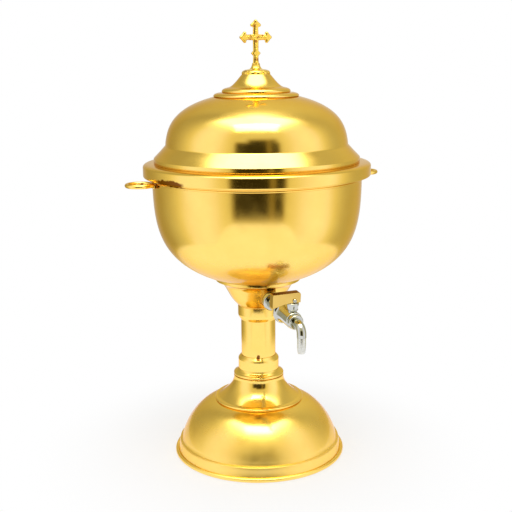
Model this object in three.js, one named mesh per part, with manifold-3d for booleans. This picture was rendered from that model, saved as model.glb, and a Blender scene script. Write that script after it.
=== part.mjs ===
// Holy water font: a covered brass urn on a stem and round foot, with a tap on its neck.
// Millimetres, +Z up. The floor is z = 0, the axis of the urn is X = Y = 0,
// the two ring handles lie along X and the tap points along -Y.
import * as THREE from 'three';
import Module from 'manifold-3d';
import { mergeVertices } from 'three/addons/utils/BufferGeometryUtils.js';

const wasm = await Module();
wasm.setup();

// Shared sizes
const SHEET = 1.6;
const SOLDER_GAP = 0.15;
const THREAD_GAP = 0.15;
const SLIP_FIT = 0.3;
const HIDDEN_TOLERANCE = 0.8;
const ROUND_STEPS = 24;
const STEM_STEPS = 20;
const SMALL_STEPS = 16;
const SPOUT_STEPS = 14;

// Foot
const FOOT_RADIUS = 120.4;
const FOOT_WIRE_RADIUS = 3.1;
const FOOT_LAND = 1.8;
const FOOT_BAND_TOP = 18.2;
const RIDGE_INSET = 6.8;
const RIDGE_HEIGHT = 5;
const RIDGE_LEAN = 0.7;
const RIDGE_RADIUS = FOOT_RADIUS - RIDGE_INSET;
const COVE_DEPTH = 1.7;
const COVE_HEIGHT = 5.8;
const FOOT_DOME = { radius: RIDGE_RADIUS - COVE_DEPTH, level: 0, rise: 94, side: 1.51, crown: 2.51 };
const FOOT_DOME_FLAT = 24;
const FLANGE_RADIUS = 62.4;
const FLANGE_WIDTH = 5.4;
const FLANGE_THICKNESS = 3.3;
const CONE_ABOVE_DOME = 18;
const CONE_TOP = FOOT_DOME.level + FOOT_DOME.rise + CONE_ABOVE_DOME;
const CONE_TOP_RADIUS = 35.2;

// Stem
const STEM_RADIUS = 24.1;
const STEM_LENGTH = 94;
const STEM_TOP = CONE_TOP + STEM_LENGTH;
const STEM_RING_HEIGHT = 10;
const STEM_RING_TOP = CONE_TOP + STEM_RING_HEIGHT;
const COUPLING_WALL = 4.5;
const COUPLING_LENGTH = 19.4;
const COUPLING_SHOULDER = 6.4;
const COLLAR_WALL = 4.1;
const COLLAR_LENGTH = 20.2;
const COLLAR_RADIUS = STEM_RADIUS + COLLAR_WALL;

// Neck
const PLUG_FLANGE = 7.6;
const PLUG_SPIGOT = 9;
const NECK_BOTTOM = STEM_TOP + PLUG_FLANGE;
const NECK_CONE_HEIGHT = 26.4;
const NECK_CONE_TOP = NECK_BOTTOM + NECK_CONE_HEIGHT;
const NECK_CONE_RADIUS = 45.4;
const NECK_SWELL = 1.7;
const NECK_LIP_RADIUS = 58.9;
const NECK_LIP_DEPTH = 3.3;

// Bowl and rim
const BOWL_RADIUS = 142.05;
const BOWL_ABOVE_CONE = 4;
const BOWL_BASE = NECK_CONE_TOP + BOWL_ABOVE_CONE;
const BOWL_SWELL = 202.3;
const BOWL = {
  radius: BOWL_RADIUS,
  level: BOWL_BASE + BOWL_SWELL,
  rise: -BOWL_SWELL,
  side: 1.66,
  crown: 5,
};
const BOWL_HOLE_RADIUS = 44;
const BOWL_DEPTH = 170;
const RIM_TOP = BOWL_BASE + BOWL_DEPTH;
const RIM_INSET = 8.05;
const RIM_OVERHANG = 11.75;
const RIM_HEIGHT = 14.5;
const RIM_BEAD_DROP = 21.8;
const RIM_BEAD_RADIUS = 1.5;
const RIM_BEAD_STANDOFF = 0.6;
const RIM_BEAD_LEVEL = RIM_TOP - RIM_BEAD_DROP;
const RIM_MOUTH_RADIUS = BOWL_RADIUS - RIM_INSET;
const RIM_RADIUS = BOWL_RADIUS + RIM_OVERHANG;

// Ring handles
const HANDLE_DROP = 1.6;
const HANDLE_LOOP_RADIUS = 16.6;
const HANDLE_WIRE_RADIUS = 2.8;
const SADDLE_WIDTH = 9;
const SADDLE_HEIGHT = 5;

// Lid
const LID_LIP_OVERLAP = 4.8;
const LID_LIP_RADIUS = RIM_MOUTH_RADIUS + LID_LIP_OVERLAP;
const LID_LIP_HEIGHT = 5.8;
const LID_SHOULDER_HEIGHT = 22.4;
const LID_SHOULDER = RIM_TOP + LID_SHOULDER_HEIGHT;
const LID_DOME_INSET = 10.1;
const LID_DOME_SINK = 18.6;
const LID = {
  radius: RIM_MOUTH_RADIUS - LID_DOME_INSET,
  level: RIM_TOP - LID_DOME_SINK,
  rise: 111.9,
  side: 1.81,
  crown: 4.41,
};
const LID_CROWN = LID.level + LID.rise;
const LID_FLAT = 18;
const HOOP_DEPTH = 11;
const HOOP_LAP = 6;

// Finial cap
const CAP_HEIGHT = 22.7;
const CAP_TOP = LID_CROWN + CAP_HEIGHT;
const CAP_TOP_RADIUS = 19.2;
const UPPER_STEP_RADIUS = 46.3;
const UPPER_STEP_TOP = LID_CROWN + 3.8;
const STEP_HEIGHT = 4.7;
const LOWER_STEP_RADIUS = 57.4;
const LOWER_STEP_TOP = UPPER_STEP_TOP - STEP_HEIGHT;

// Cross
const CROSS_HEIGHT = 70;
const CROSS_TOP = CAP_TOP + CROSS_HEIGHT;
const CROSS_ARM = 22.8;
const CROSS_HALF_WIDTH = 4.2;
const CROSS_THICKNESS = 5.2;
const CROSS_BEVEL = 0.9;
const BUD_RADIUS = 1.9;
const BUD_SETBACK = 7.4;
const KNOP_HEIGHT = 26.6;
const KNOP_HALF_WIDTH = 6.8;
const CROSS_FOOT_RADIUS = 17.4;
const CROSS_FOOT_HEIGHT = 8;
const CROSS_PETALS = 8;

// Fixings
const TIE_ROD_RADIUS = 4;
const TIE_ROD_TAIL = 4.6;
const TIE_WASHER_RADIUS = 20;
const TIE_WASHER_THICKNESS = 2.5;
const TIE_NUT_CORNER = 7.5;
const TIE_NUT_HEIGHT = 6.5;
const STUD_RADIUS = 2.5;
const STUD_TAIL = 2.5;
const STUD_DEPTH = 8;
const LID_WASHER_RADIUS = 9;
const LID_WASHER_THICKNESS = 1.5;
const LID_NUT_CORNER = 5;
const LID_NUT_HEIGHT = 4;

// Tap, measured along its own axis outwards from the face of its boss
const TAP_DROP = 4.8;
const TAP_ORIGIN_LEVEL = NECK_CONE_TOP - TAP_DROP;
const TAP_TILT = THREE.MathUtils.degToRad(6);
const BOSS_RADIUS = 12.6;
const SHANK_RADIUS = 8.9;
const SHANK_TAIL = 15.7;
const SEAL_THICKNESS = 1.5;
const LOCK_RING_LENGTH = 6.6;
const LOCK_RING_RADIUS = 13;
const BELL_REACH = 47.3;
const BELL_LENGTH = 14;
const BELL_RADIUS = 15.4;
const BARREL_RADIUS = 11.2;
const SPINDLE_REACH = 71.9;
const WATERWAY_RADIUS = 4.6;
const PLUG_RADIUS = 5;
const PLUG_DEPTH = 5.8;
const PLUG_TOP = 6;
const PACKING_HEIGHT = 4;
const TOWER_RADIUS = 7;
const TOWER_TOP = 14.2;
const GLAND_RADIUS = 7.8;
const GLAND_HEIGHT = 9.2;
const GLAND_TOP = TOWER_TOP + GLAND_HEIGHT;
const SPINDLE_RADIUS = 2.9;
const SPINDLE_SQUARE = 4;
const SQUARE_LENGTH = 9;

// Lever, in heights above the tap's axis
const LEVER_BOTTOM = GLAND_TOP + 0.4;
const LEVER_HEIGHT = 13.6;
const LEVER_TOP = LEVER_BOTTOM + LEVER_HEIGHT;
const LEVER_DEPTH = 10.4;
const LEVER_REACH = 30;
const LEVER_HEEL = 8.5;
const LEVER_DROP = 5;
const LEVER_BEVEL = 0.6;
const LEVER_SCREW_RADIUS = 1.5;
const LEVER_SCREW_HEAD = 2.8;
const LEVER_SCREW_LEVEL = LEVER_BOTTOM + 3.2;

// Spout
const OUTLET_RADIUS = 6.9;
const OUTLET_LENGTH = 3.6;
const SPOUT_RADIUS = 6.1;
const SPOUT_BORE = 4.8;
const SPOUT_COLLAR = 1.4;
const SPOUT_BEND_RADIUS = 11;
const SPOUT_DROP = 3.6;
const SPOUT_FROM_SPINDLE = 29.05;
const SPOUT_NUT_RADIUS = 10;
const SPOUT_NUT_LENGTH = 6.4;
const NOZZLE_LENGTH = 20.7;
const NOZZLE_RADIUS = 5.6;
const NOZZLE_BORE = 3.7;

const brass = { color: 0xd9a93a, roughness: 0.16, metalness: 1 };
const castBrass = { color: 0xd6a235, roughness: 0.3, metalness: 1 };
const plainBrass = { color: 0xc39a45, roughness: 0.45, metalness: 1 };
const chrome = { color: 0xd5d6d2, roughness: 0.1, metalness: 1 };
const steel = { color: 0x9a9c9d, roughness: 0.4, metalness: 1 };
const rubber = { color: 0x25221f, roughness: 0.85, metalness: 0 };
const plasticSeal = { color: 0xe8e6de, roughness: 0.6, metalness: 0 };

const font = new THREE.Group();
font.name = 'holy_water_font';

function addPiece(name, geometry, look) {
  const mesh = new THREE.Mesh(geometry, new THREE.MeshStandardMaterial(look));
  mesh.name = name;
  font.add(mesh);
}

// Outlines of turned and spun pieces are lists of [radius, height].

// A swelling curve: straight-sided at its level, closing over to the axis at level + rise.
function swellHeight(swell, radius) {
  const closed = 1 - Math.pow(radius / swell.radius, swell.side);
  return swell.level + swell.rise * Math.pow(closed, 1 / swell.crown);
}

function swellRadius(swell, height) {
  const climbed = Math.abs((height - swell.level) / swell.rise);
  return swell.radius * Math.pow(1 - Math.pow(climbed, swell.crown), 1 / swell.side);
}

// Points along a swell, from its side at the given height to the given radius near the axis:
// even steps of height up to four fifths of its width, then even steps of radius.
function swellLine(swell, fromHeight, toRadius, steps) {
  const fromRadius = swellRadius(swell, fromHeight);
  const middleRadius = 0.8 * fromRadius;
  const middleHeight = swellHeight(swell, middleRadius);
  const line = [];
  for (let i = 0; i < steps; i += 1) {
    const height = THREE.MathUtils.lerp(fromHeight, middleHeight, i / steps);
    line.push([swellRadius(swell, height), height]);
  }
  for (let i = 0; i <= steps; i += 1) {
    const radius = THREE.MathUtils.lerp(middleRadius, toRadius, i / steps);
    line.push([radius, swellHeight(swell, radius)]);
  }
  return line;
}

function arcLine(radius, height, size, fromDegrees, toDegrees, steps) {
  const line = [];
  for (let i = 0; i <= steps; i += 1) {
    const angle = THREE.MathUtils.degToRad(THREE.MathUtils.lerp(fromDegrees, toDegrees, i / steps));
    line.push([radius + size * Math.cos(angle), height + size * Math.sin(angle)]);
  }
  return line;
}

function bezierLine(start, startPull, endPull, end, steps) {
  const corners = [start, startPull, endPull, end].map(([x, y]) => new THREE.Vector2(x, y));
  return new THREE.CubicBezierCurve(...corners).getPoints(steps).map((p) => [p.x, p.y]);
}

// The same line moved sideways, to the left of its direction of travel.
function offsetLine(line, distance) {
  return line.map((point, i) => {
    const before = line[Math.max(i - 1, 0)];
    const after = line[Math.min(i + 1, line.length - 1)];
    const arriving = new THREE.Vector2(point[0] - before[0], point[1] - before[1]);
    const leaving = new THREE.Vector2(after[0] - point[0], after[1] - point[1]);
    if (i === 0) arriving.copy(leaving);
    if (i === line.length - 1) leaving.copy(arriving);
    arriving.normalize();
    leaving.normalize();
    const along = arriving.clone().add(leaving).normalize();
    const reach = distance / along.dot(arriving);
    return [point[0] - along.y * reach, point[1] + along.x * reach];
  });
}

// The fewest points of a line that keep within a tolerance of it.
function simplified(line, tolerance) {
  if (line.length < 3) return line;
  const first = new THREE.Vector2(...line[0]);
  const last = new THREE.Vector2(...line.at(-1));
  const along = last.clone().sub(first).normalize();
  let farthest = 0;
  let distance = 0;
  line.forEach(([x, y], i) => {
    const off = Math.abs(new THREE.Vector2(x, y).sub(first).cross(along));
    if (off > distance) [farthest, distance] = [i, off];
  });
  if (distance < tolerance) return [line[0], line.at(-1)];
  const start = simplified(line.slice(0, farthest + 1), tolerance);
  return [...start.slice(0, -1), ...simplified(line.slice(farthest), tolerance)];
}

// The hidden face of a sheet: one thickness to the left of the outer line, listed backwards.
function backFace(outer, thickness) {
  return simplified(offsetLine(outer, thickness), HIDDEN_TOLERANCE).reverse();
}

function sheetWall(outer, thickness = SHEET) {
  return [...outer, ...backFace(outer, thickness)];
}

// Where a line stands at a given radius or height, so that seats follow the modelled surface.
function valueOnLine(line, given, wanted, value) {
  for (let i = 0; i < line.length - 1; i += 1) {
    const [a, b] = [line[i], line[i + 1]];
    if ((a[given] - value) * (b[given] - value) <= 0 && a[given] !== b[given]) {
      return a[wanted] + ((b[wanted] - a[wanted]) * (value - a[given])) / (b[given] - a[given]);
    }
  }
  throw new Error(`the line does not reach ${value}`);
}

const heightOn = (line, radius) => valueOnLine(line, 0, 1, radius);
const radiusOn = (line, height) => valueOnLine(line, 1, 0, height);

// Turns a closed outline about the Z axis.
function turned(outline, steps = ROUND_STEPS) {
  const points = outline.map(([radius, height]) => new THREE.Vector2(Math.max(radius, 0), height));
  if (THREE.ShapeUtils.isClockWise(points)) points.reverse();
  const startsOnAxis = points.findIndex((p, i) => p.x === 0 && points.at(i - 1).x === 0);
  if (startsOnAxis >= 0) {
    points.push(...points.splice(0, startsOnAxis));
  } else {
    points.push(points[0].clone());
  }
  const geometry = new THREE.LatheGeometry(points, steps);
  geometry.rotateX(Math.PI / 2);
  return toGeometry(toSolid(geometry));
}

function toSolid(geometry) {
  const bare = new THREE.BufferGeometry();
  bare.setAttribute('position', geometry.getAttribute('position').clone());
  if (geometry.index) bare.setIndex(geometry.index.clone());
  const welded = mergeVertices(bare, 1e-4);
  const corners = welded.index.array;
  const kept = [];
  for (let i = 0; i < corners.length; i += 3) {
    const [a, b, c] = [corners[i], corners[i + 1], corners[i + 2]];
    if (a !== b && b !== c && c !== a) kept.push(a, b, c);
  }
  return new wasm.Manifold(new wasm.Mesh({
    numProp: 3,
    vertProperties: new Float32Array(welded.getAttribute('position').array),
    triVerts: new Uint32Array(kept),
  }));
}

function toGeometry(solid) {
  const mesh = solid.getMesh();
  const geometry = new THREE.BufferGeometry();
  geometry.setAttribute('position', new THREE.BufferAttribute(new Float32Array(mesh.vertProperties), 3));
  geometry.setIndex(new THREE.BufferAttribute(new Uint32Array(mesh.triVerts), 1));
  geometry.computeVertexNormals();
  return geometry;
}

function joined(...geometries) {
  return toGeometry(geometries.map(toSolid).reduce((sum, next) => sum.add(next)));
}

function cut(geometry, ...tools) {
  return toGeometry(tools.map(toSolid).reduce((left, tool) => left.subtract(tool), toSolid(geometry)));
}

// Joins rings of equal point counts into one skin. A looped skin runs on from the last ring to the
// first; any other is closed by a fan at each end.
function skinned(rings, looped) {
  const count = rings[0].length;
  const points = rings.flat();
  const corners = [];
  const joints = looped ? rings.length : rings.length - 1;
  for (let ring = 0; ring < joints; ring += 1) {
    const from = ring * count;
    const to = ((ring + 1) % rings.length) * count;
    for (let i = 0; i < count; i += 1) {
      const next = (i + 1) % count;
      corners.push(from + i, from + next, to + next, from + i, to + next, to + i);
    }
  }
  if (!looped) {
    const top = (rings.length - 1) * count;
    for (const ring of [rings[0], rings.at(-1)]) {
      const centre = new THREE.Vector3();
      ring.forEach((point) => centre.addScaledVector(point, 1 / count));
      points.push(centre);
    }
    for (let i = 0; i < count; i += 1) {
      const next = (i + 1) % count;
      corners.push(points.length - 2, next, i, points.length - 1, top + i, top + next);
    }
  }
  const skin = new THREE.BufferGeometry().setFromPoints(points);
  skin.setIndex(corners);
  return skin;
}

// A round bar or tube between two heights.
function tube(outerRadius, innerRadius, bottom, top, steps = SMALL_STEPS) {
  return turned([
    [innerRadius, bottom],
    [outerRadius, bottom],
    [outerRadius, top],
    [innerRadius, top],
  ], steps);
}

// A hexagon nut with a round bore, its corners touching the given radius.
function hexNut(cornerRadius, boreRadius, bottom, top) {
  const outline = new THREE.Shape();
  for (let i = 0; i < 6; i += 1) {
    const angle = (i * Math.PI) / 3;
    const corner = [cornerRadius * Math.cos(angle), cornerRadius * Math.sin(angle)];
    if (i === 0) outline.moveTo(...corner);
    else outline.lineTo(...corner);
  }
  outline.closePath();
  const block = new THREE.ExtrudeGeometry(outline, { depth: top - bottom, bevelEnabled: false });
  block.translate(0, 0, bottom);
  return cut(block, tube(boreRadius, 0, bottom - 1, top + 1));
}

// Shared surfaces that other pieces are seated on
const footLine = swellLine(FOOT_DOME, FOOT_BAND_TOP + COVE_HEIGHT, FOOT_DOME_FLAT, 4);
const bowlWall = swellRadius(BOWL, RIM_BEAD_LEVEL);
const bowlLine = [
  [bowlWall, RIM_TOP - SHEET],
  ...swellLine(BOWL, RIM_BEAD_LEVEL, BOWL_HOLE_RADIUS, 4),
];
const lidLine = swellLine(LID, LID_SHOULDER + 1, LID_FLAT, 4);
const neckLipLevel = heightOn(bowlLine, NECK_LIP_RADIUS) - NECK_LIP_DEPTH;
const beadCentre = bowlWall + SOLDER_GAP + RIM_BEAD_STANDOFF;

// The tap's seat stands just clear of the neck wall at the top edge of its boss.
const seatDrop = NECK_CONE_RADIUS * Math.sin(TAP_TILT);
const seatLevel = TAP_ORIGIN_LEVEL + BOSS_RADIUS * Math.cos(TAP_TILT) - seatDrop;
const neckAtSeat = radiusOn(neckOuterLine(), seatLevel);
const bossFace = neckAtSeat / Math.cos(TAP_TILT) - BOSS_RADIUS * Math.tan(TAP_TILT) + SLIP_FIT;
const shankEnd = bossFace - SHANK_TAIL;
const bellFront = bossFace + BELL_REACH;
const spindleStation = bossFace + SPINDLE_REACH;
const barrelEnd = spindleStation + TOWER_RADIUS + SLIP_FIT;
const outletEnd = barrelEnd + OUTLET_LENGTH;

// Foot band: sheet rising from a rolled wire edge to the ridge that carries the dome
function makeFootBand() {
  const wireCentre = FOOT_RADIUS - FOOT_WIRE_RADIUS;
  addPiece('foot_band', turned([
    ...arcLine(wireCentre, FOOT_WIRE_RADIUS, FOOT_WIRE_RADIUS, -165, -120, 1),
    [wireCentre - FOOT_LAND / 2, 0],
    [wireCentre + FOOT_LAND / 2, 0],
    ...arcLine(wireCentre, FOOT_WIRE_RADIUS, FOOT_WIRE_RADIUS, -60, 110, 3),
    [RIDGE_RADIUS + RIDGE_LEAN, FOOT_BAND_TOP - RIDGE_HEIGHT],
    [RIDGE_RADIUS, FOOT_BAND_TOP],
    [RIDGE_RADIUS - SHEET, FOOT_BAND_TOP],
    [RIDGE_RADIUS - SHEET + RIDGE_LEAN, FOOT_BAND_TOP - RIDGE_HEIGHT],
  ]), brass);
}

// Foot dome: a spun dome that coves out at the bottom to stand on the band
function makeFootDome() {
  const [domeFoot] = footLine[0];
  const outer = [
    [RIDGE_RADIUS - SOLDER_GAP, FOOT_BAND_TOP],
    [RIDGE_RADIUS - SOLDER_GAP, FOOT_BAND_TOP + SHEET / 2],
    [domeFoot + 0.2 * COVE_HEIGHT, FOOT_BAND_TOP + 0.4 * COVE_HEIGHT],
    ...footLine,
    [TIE_ROD_RADIUS + SLIP_FIT, footLine.at(-1)[1]],
  ];
  const inner = backFace(outer.slice(2), SHEET);
  const seat = [RIDGE_RADIUS - SHEET - SLIP_FIT, FOOT_BAND_TOP];
  addPiece('foot_dome', turned([...outer, ...inner, seat]), brass);
}

// Foot cone: a trumpet whose rolled flange rests on the dome and whose flat top carries the stem
function makeFootCone() {
  const onDome = (radius) => [radius, heightOn(footLine, radius) + SOLDER_GAP];
  const creaseRadius = FLANGE_RADIUS - FLANGE_WIDTH;
  const crease = [creaseRadius, heightOn(footLine, creaseRadius) + SHEET + SLIP_FIT];
  const edge = heightOn(footLine, FLANGE_RADIUS);
  const drop = CONE_TOP - crease[1];
  const spread = creaseRadius - CONE_TOP_RADIUS;
  const trumpet = bezierLine(
    [CONE_TOP_RADIUS, CONE_TOP - SHEET],
    [CONE_TOP_RADIUS, CONE_TOP - 0.42 * drop],
    [creaseRadius - 0.62 * spread, crease[1] + 0.3 * drop],
    crease,
    4,
  );
  const outer = [
    [TIE_ROD_RADIUS + SLIP_FIT, CONE_TOP],
    [CONE_TOP_RADIUS - 1.2, CONE_TOP],
    ...trumpet,
  ];
  const lip = [
    [creaseRadius + 0.45 * FLANGE_WIDTH, crease[1] - 0.15 * FLANGE_THICKNESS],
    [FLANGE_RADIUS - 0.3 * FLANGE_THICKNESS, edge + FLANGE_THICKNESS],
    [FLANGE_RADIUS, edge + 0.4 * FLANGE_THICKNESS],
    onDome(FLANGE_RADIUS - SOLDER_GAP),
    onDome(creaseRadius - 1),
  ];
  const inner = backFace(outer.slice(0, -1), -SHEET);
  addPiece('foot_cone', turned([...outer, ...lip, ...inner]), brass);
}

// Stem: ring and coupling around the foot of a plain tube, and a collar under the neck
function makeStem() {
  const bore = STEM_RADIUS + SLIP_FIT / 2;
  addPiece('stem_tube', tube(STEM_RADIUS, STEM_RADIUS - SHEET, CONE_TOP, STEM_TOP, STEM_STEPS), brass);

  const couplingRadius = STEM_RADIUS + COUPLING_WALL;
  const roll = 0.22 * STEM_RING_HEIGHT;
  const rollTop = [CONE_TOP_RADIUS - roll, CONE_TOP + 0.52 * STEM_RING_HEIGHT];
  addPiece('stem_ring', turned([
    [bore, CONE_TOP],
    [CONE_TOP_RADIUS - 0.9, CONE_TOP],
    ...arcLine(CONE_TOP_RADIUS - roll, CONE_TOP + roll, roll, -40, 40, 2),
    ...bezierLine(
      rollTop,
      [rollTop[0] - 1.7, rollTop[1] + 2.1],
      [couplingRadius + 1, STEM_RING_TOP - 2.2],
      [couplingRadius + 0.2, STEM_RING_TOP],
      2,
    ),
    [bore, STEM_RING_TOP],
  ], STEM_STEPS), brass);

  const couplingTop = STEM_RING_TOP + COUPLING_LENGTH;
  const shoulder = couplingTop - COUPLING_SHOULDER;
  addPiece('stem_coupling', turned([
    [bore, STEM_RING_TOP],
    [couplingRadius, STEM_RING_TOP],
    ...bezierLine(
      [couplingRadius, shoulder],
      [couplingRadius, shoulder + 0.4 * COUPLING_SHOULDER],
      [bore + 2, shoulder + 0.6 * COUPLING_SHOULDER],
      [bore + 0.5, couplingTop],
      4,
    ),
    [bore, couplingTop],
  ], STEM_STEPS), brass);

  const collarBottom = NECK_BOTTOM - COLLAR_LENGTH;
  addPiece('stem_collar', turned([
    [bore, collarBottom],
    ...bezierLine(
      [bore + 0.4, collarBottom],
      [bore + 2.2, collarBottom + 0.18 * COLLAR_LENGTH],
      [COLLAR_RADIUS - 0.2, collarBottom + 0.28 * COLLAR_LENGTH],
      [COLLAR_RADIUS, collarBottom + 0.4 * COLLAR_LENGTH],
      3,
    ),
    [COLLAR_RADIUS, NECK_BOTTOM - 0.7],
    [COLLAR_RADIUS - 0.7, NECK_BOTTOM],
    [bore, NECK_BOTTOM],
  ], STEM_STEPS), brass);
}

// The outside of the neck, moved outwards by the given amount
function neckOuterLine(grown = 0) {
  const line = [
    [COLLAR_RADIUS - SHEET, NECK_BOTTOM],
    [COLLAR_RADIUS + 0.2, NECK_BOTTOM + 0.75 * SHEET],
    [(COLLAR_RADIUS + NECK_CONE_RADIUS) / 2 + NECK_SWELL, (NECK_BOTTOM + NECK_CONE_TOP) / 2],
    [NECK_CONE_RADIUS, NECK_CONE_TOP],
    ...bezierLine(
      [NECK_CONE_RADIUS + 0.6, NECK_CONE_TOP + 0.9],
      [NECK_CONE_RADIUS + 3, NECK_CONE_TOP + 5],
      [NECK_LIP_RADIUS - 6.9, neckLipLevel - 3.2],
      [NECK_LIP_RADIUS - 1, neckLipLevel - 1],
      4,
    ),
    [NECK_LIP_RADIUS, neckLipLevel],
  ];
  return line.map(([radius, height]) => [radius + grown, height]);
}

// The tap's own frame: along -Y from the axis of the urn, then tilted down and raised
function placeOnTapAxis(geometry) {
  geometry.rotateX(TAP_TILT);
  geometry.translate(0, 0, TAP_ORIGIN_LEVEL);
  return geometry;
}

// Turns an outline of [radius, station] about the tap's own axis, stations running outwards
function turnedOnTap(outline, steps = SMALL_STEPS) {
  const geometry = turned(outline, steps);
  geometry.rotateX(Math.PI / 2);
  return geometry;
}

function tapTube(outerRadius, innerRadius, from, to, steps = SMALL_STEPS) {
  const geometry = tube(outerRadius, innerRadius, from, to, steps);
  geometry.rotateX(Math.PI / 2);
  return geometry;
}

// Moves a piece that is made around Z at the origin to the spindle of the tap
function placeOnSpindle(geometry) {
  geometry.translate(0, -spindleStation, 0);
  return placeOnTapAxis(geometry);
}

// Neck: a funnel closed at the bottom, soldered under the bowl and bored for the tap
function makeNeck() {
  const outer = neckOuterLine();
  const underBowl = (radius) => [radius, heightOn(bowlLine, radius) - SOLDER_GAP];
  const top = [NECK_LIP_RADIUS, NECK_LIP_RADIUS - 5, NECK_CONE_RADIUS + 2.6].map(underBowl);
  const inner = backFace(outer.slice(1, 6), SHEET);
  const floor = NECK_BOTTOM + SHEET;
  const shell = turned([
    [0, NECK_BOTTOM],
    ...outer,
    ...top,
    ...inner,
    [COLLAR_RADIUS - 2 * SHEET, floor],
    [0, floor],
  ]);
  const bore = placeOnTapAxis(tapTube(SHANK_RADIUS + SLIP_FIT, 0, BOSS_RADIUS, NECK_LIP_RADIUS));
  addPiece('neck_funnel', cut(shell, bore), brass);
}

// Neck plug: closes the top of the stem tube and takes the end of the tie rod
function makeNeckPlug() {
  const flangeRadius = STEM_RADIUS - SLIP_FIT / 2;
  const spigotRadius = STEM_RADIUS - SHEET - SLIP_FIT / 2;
  const boreRadius = TIE_ROD_RADIUS + THREAD_GAP;
  const boreTop = STEM_TOP + PLUG_FLANGE / 2;
  addPiece('neck_plug', turned([
    [0, NECK_BOTTOM],
    [flangeRadius, NECK_BOTTOM],
    [flangeRadius, STEM_TOP],
    [spigotRadius, STEM_TOP],
    [spigotRadius, STEM_TOP - PLUG_SPIGOT],
    [boreRadius, STEM_TOP - PLUG_SPIGOT],
    [boreRadius, boreTop],
    [0, boreTop],
  ], STEM_STEPS), plainBrass);
}

// Bowl: one spun wall, open at the bottom into the neck
function makeBowl() {
  addPiece('bowl', turned(sheetWall(bowlLine, -SHEET)), brass);
}

// Rim band: a channel around the mouth, crowned on top and ending in a small bead
function makeRim() {
  const wall = bowlWall + SOLDER_GAP;
  const underside = RIM_TOP - RIM_HEIGHT;
  const outer = [
    [RIM_MOUTH_RADIUS, RIM_TOP],
    [LID_LIP_RADIUS + 2, RIM_TOP],
    ...bezierLine(
      [LID_LIP_RADIUS + 5, RIM_TOP - 0.5],
      [RIM_RADIUS - 5.8, RIM_TOP - 1],
      [RIM_RADIUS - 0.4, RIM_TOP - 2.6],
      [RIM_RADIUS, RIM_TOP - RIM_HEIGHT / 2],
      4,
    ),
    [RIM_RADIUS, underside + 1.3],
    [RIM_RADIUS - 1.2, underside - 0.5],
    [beadCentre + RIM_BEAD_RADIUS, RIM_BEAD_LEVEL + 2],
  ];
  const bead = [
    ...arcLine(beadCentre, RIM_BEAD_LEVEL, RIM_BEAD_RADIUS, 40, -80, 3),
    [wall, RIM_BEAD_LEVEL - RIM_BEAD_RADIUS],
    [wall, RIM_BEAD_LEVEL + SHEET],
  ];
  const inner = backFace(outer.slice(2, -1), -SHEET);
  const seat = [[wall + SLIP_FIT, RIM_TOP - SHEET], [RIM_MOUTH_RADIUS, RIM_TOP - SHEET]];
  addPiece('rim_band', turned([...outer, ...bead, ...inner, ...seat]), brass);
}

// Ring handles: a closed wire ring on a small saddle soldered to the bowl under the bead of the rim
function makeHandles() {
  const level = RIM_BEAD_LEVEL - HANDLE_DROP;
  const ringInside = beadCentre + RIM_BEAD_RADIUS + SLIP_FIT;
  const centre = ringInside + HANDLE_WIRE_RADIUS + HANDLE_LOOP_RADIUS;
  const saddleLength = ringInside + HANDLE_WIRE_RADIUS - bowlWall + SHEET;
  const saddleTop = level - 0.1 * HANDLE_WIRE_RADIUS;
  const wallRadius = bowlWall + SOLDER_GAP;
  for (const [name, side] of [['ring_handle_left', -1], ['ring_handle_right', 1]]) {
    const ring = new THREE.TorusGeometry(HANDLE_LOOP_RADIUS, HANDLE_WIRE_RADIUS, 8, 20);
    ring.translate(centre, 0, level);
    const saddle = new THREE.BoxGeometry(saddleLength, SADDLE_WIDTH, SADDLE_HEIGHT);
    saddle.translate(centre - HANDLE_LOOP_RADIUS - saddleLength / 2, 0, saddleTop - SADDLE_HEIGHT / 2);
    const wall = tube(wallRadius, 0, level - 2 * SADDLE_HEIGHT, level + SADDLE_HEIGHT, ROUND_STEPS);
    const handle = cut(joined(ring, saddle), wall);
    if (side < 0) handle.rotateZ(Math.PI);
    addPiece(name, handle, brass);
  }
}

// Lid: spun dome, sloping shoulder and turned-in lip, with a hoop that drops into the mouth
function makeLid() {
  const hoopRadius = RIM_MOUTH_RADIUS - 2 * SLIP_FIT;
  const lipTop = RIM_TOP + LID_LIP_HEIGHT;
  const outer = [
    [hoopRadius + SOLDER_GAP, RIM_TOP],
    [LID_LIP_RADIUS, RIM_TOP],
    [LID_LIP_RADIUS, lipTop],
    [LID_LIP_RADIUS - 1, lipTop + 1.2],
    [lidLine[0][0] + 0.5, LID_SHOULDER],
    ...lidLine,
    [STUD_RADIUS + SLIP_FIT, lidLine.at(-1)[1]],
  ];
  addPiece('lid_dome', turned(sheetWall(outer)), brass);
  addPiece('lid_hoop', tube(hoopRadius, hoopRadius - SHEET, RIM_TOP - HOOP_DEPTH,
    RIM_TOP + HOOP_LAP, ROUND_STEPS), brass);
}

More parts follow.
